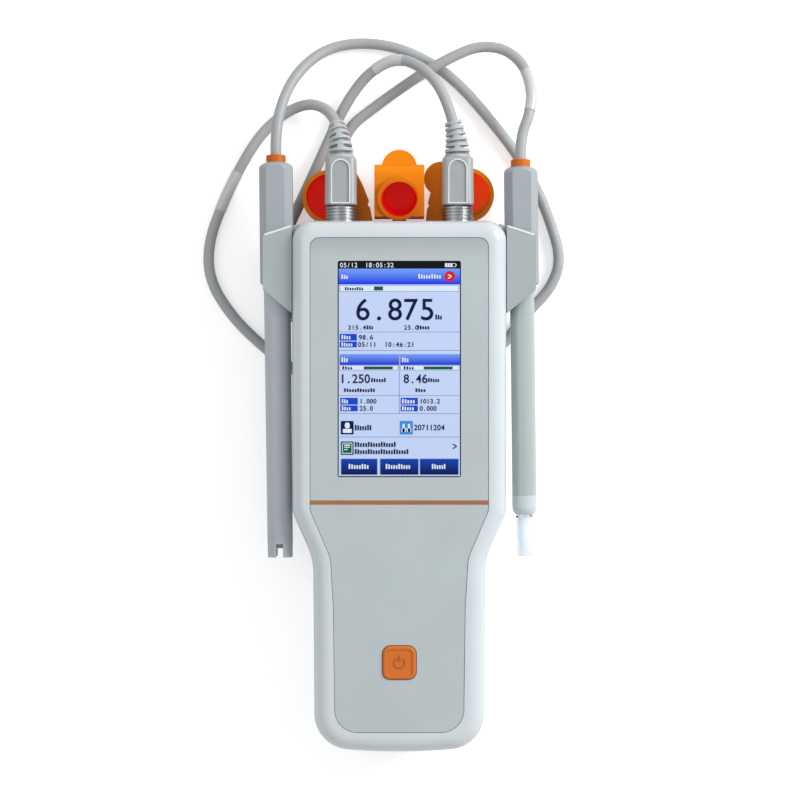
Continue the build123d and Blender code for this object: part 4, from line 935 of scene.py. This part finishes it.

# Dust caps: soft orange silicone, each a cup on a strap with a pegged anchor, or the folded cap of the small
# port. Light goes into the rubber. The hollows are painted deep red and glow a little to stand in for it,
# and the rubber is painted darker towards its root as shade of the case.
CUP_RADIUS = 12.2
CUP_BORE = 10.6
FOLDED_CAP_Y = 112.15
FOLDED_CAP_BORE = 8.3
HOLLOW_EDGE = 0.3
HOLLOW_DEPTH = 2.5
ROOT_SHADE = (103.0, 125.0)


def silicone(name, middle_x, middle_y, bore, rim_z, hollow, shade):
    """Orange rubber that is painted deep red and glows a little inside a cup of this middle, bore and rim,
    as painted light from inside the rubber, and is painted darker towards its root as shade of the case."""

    def hollow_light_mask(point):
        across = point.split("X") - middle_x
        along = point.split("Y") - middle_y
        away = point.math("SQRT", across * across + along * along)
        inside = 1 - away.ramp((bore - HOLLOW_EDGE) * MM, (bore + HOLLOW_EDGE) * MM)
        return inside * (1 - point.split("Z").ramp(rim_z - HOLLOW_DEPTH * MM, rim_z))

    def paint(point, tinted):
        # Painted shade towards the root, and painted deep red light in the hollow.
        root = 1 - point.split("Y").ramp(ROOT_SHADE[0] * MM, ROOT_SHADE[1] * MM)
        return tinted.over(root * shade, linear(178, 74, 6)).over(hollow_light_mask(point), linear(*hollow))

    def glow(point):
        # The hollow glows a little, as painted light.
        return hollow_light_mask(point).tint((0.0, 0.0, 0.0), linear(*hollow))

    return finish_of(
        name,
        linear(248, 142, 6),
        0.36,
        spread=0.05,
        grain=1500.0,
        bump=0.03,
        paint=paint,
        glow=glow,
        Specular_IOR_Level=0.2,
        Emission_Strength=0.35,
    )


for name in ("left", "right"):
    low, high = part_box(f"dust_cap_{name}")
    cup_x = low.x + CUP_RADIUS * MM if name == "left" else high.x - CUP_RADIUS * MM
    cup_y = high.y - CUP_RADIUS * MM
    hollow = (208, 20, 1) if name == "left" else (240, 66, 3)
    cap = silicone(f"silicone_{name}", cup_x, cup_y, CUP_BORE, high.z, hollow, 0.15)
    dress(cap, f"dust_cap_{name}", f"strap_anchor_{name}")
rim_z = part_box("dust_cap_centre")[1].z
folded = silicone("silicone_centre", 0.0, FOLDED_CAP_Y * MM, FOLDED_CAP_BORE, rim_z, (190, 8, 1), 0.7)
dress(folded, "dust_cap_centre")

# Back and inside: soft dark feet and seals, four cells under the cover, and the green circuit board with its
# switch and the rubber dome of the key.
DOME_WALL = 1.0
DOME_TAPER = 1.4
rubber_dark = finish_of("rubber_dark", linear(58, 60, 62), 0.7, spread=0.08, bump=0.1)
board_green = finish_of("board_green", linear(34, 98, 66), 0.4, spread=0.1, grain=1200.0, bump=0.05)
cell_wrap = finish_of("cell_wrap", linear(60, 92, 150), 0.3, spread=0.05, bump=0.02, Coat_Weight=0.4)
dress(rubber_dark, "rubber_feet", "case_seal", "battery_seal")
dress(board_green, "main_board")
dress(dark_plastic, "key_switch")
dress(cell_wrap, "battery_cells")
low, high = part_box("key_spring")
middle = (low + high) / 2
base_radius = (high.x - low.x) / 2
top_radius = base_radius - DOME_TAPER * MM
profile = [(base_radius - DOME_WALL * MM, low.z), (base_radius, low.z)]
profile += [(top_radius, high.z), (top_radius - DOME_WALL * MM, high.z)]
outline = [(middle.x + radius, middle.y, height) for radius, height in profile]
dome = turned(outline, (middle.x, middle.y, 0), (0, 0, 1), 40)
rubber_dome = piece("key_dome", dome, rubber_dark)
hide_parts("key_spring")
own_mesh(rubber_dome)
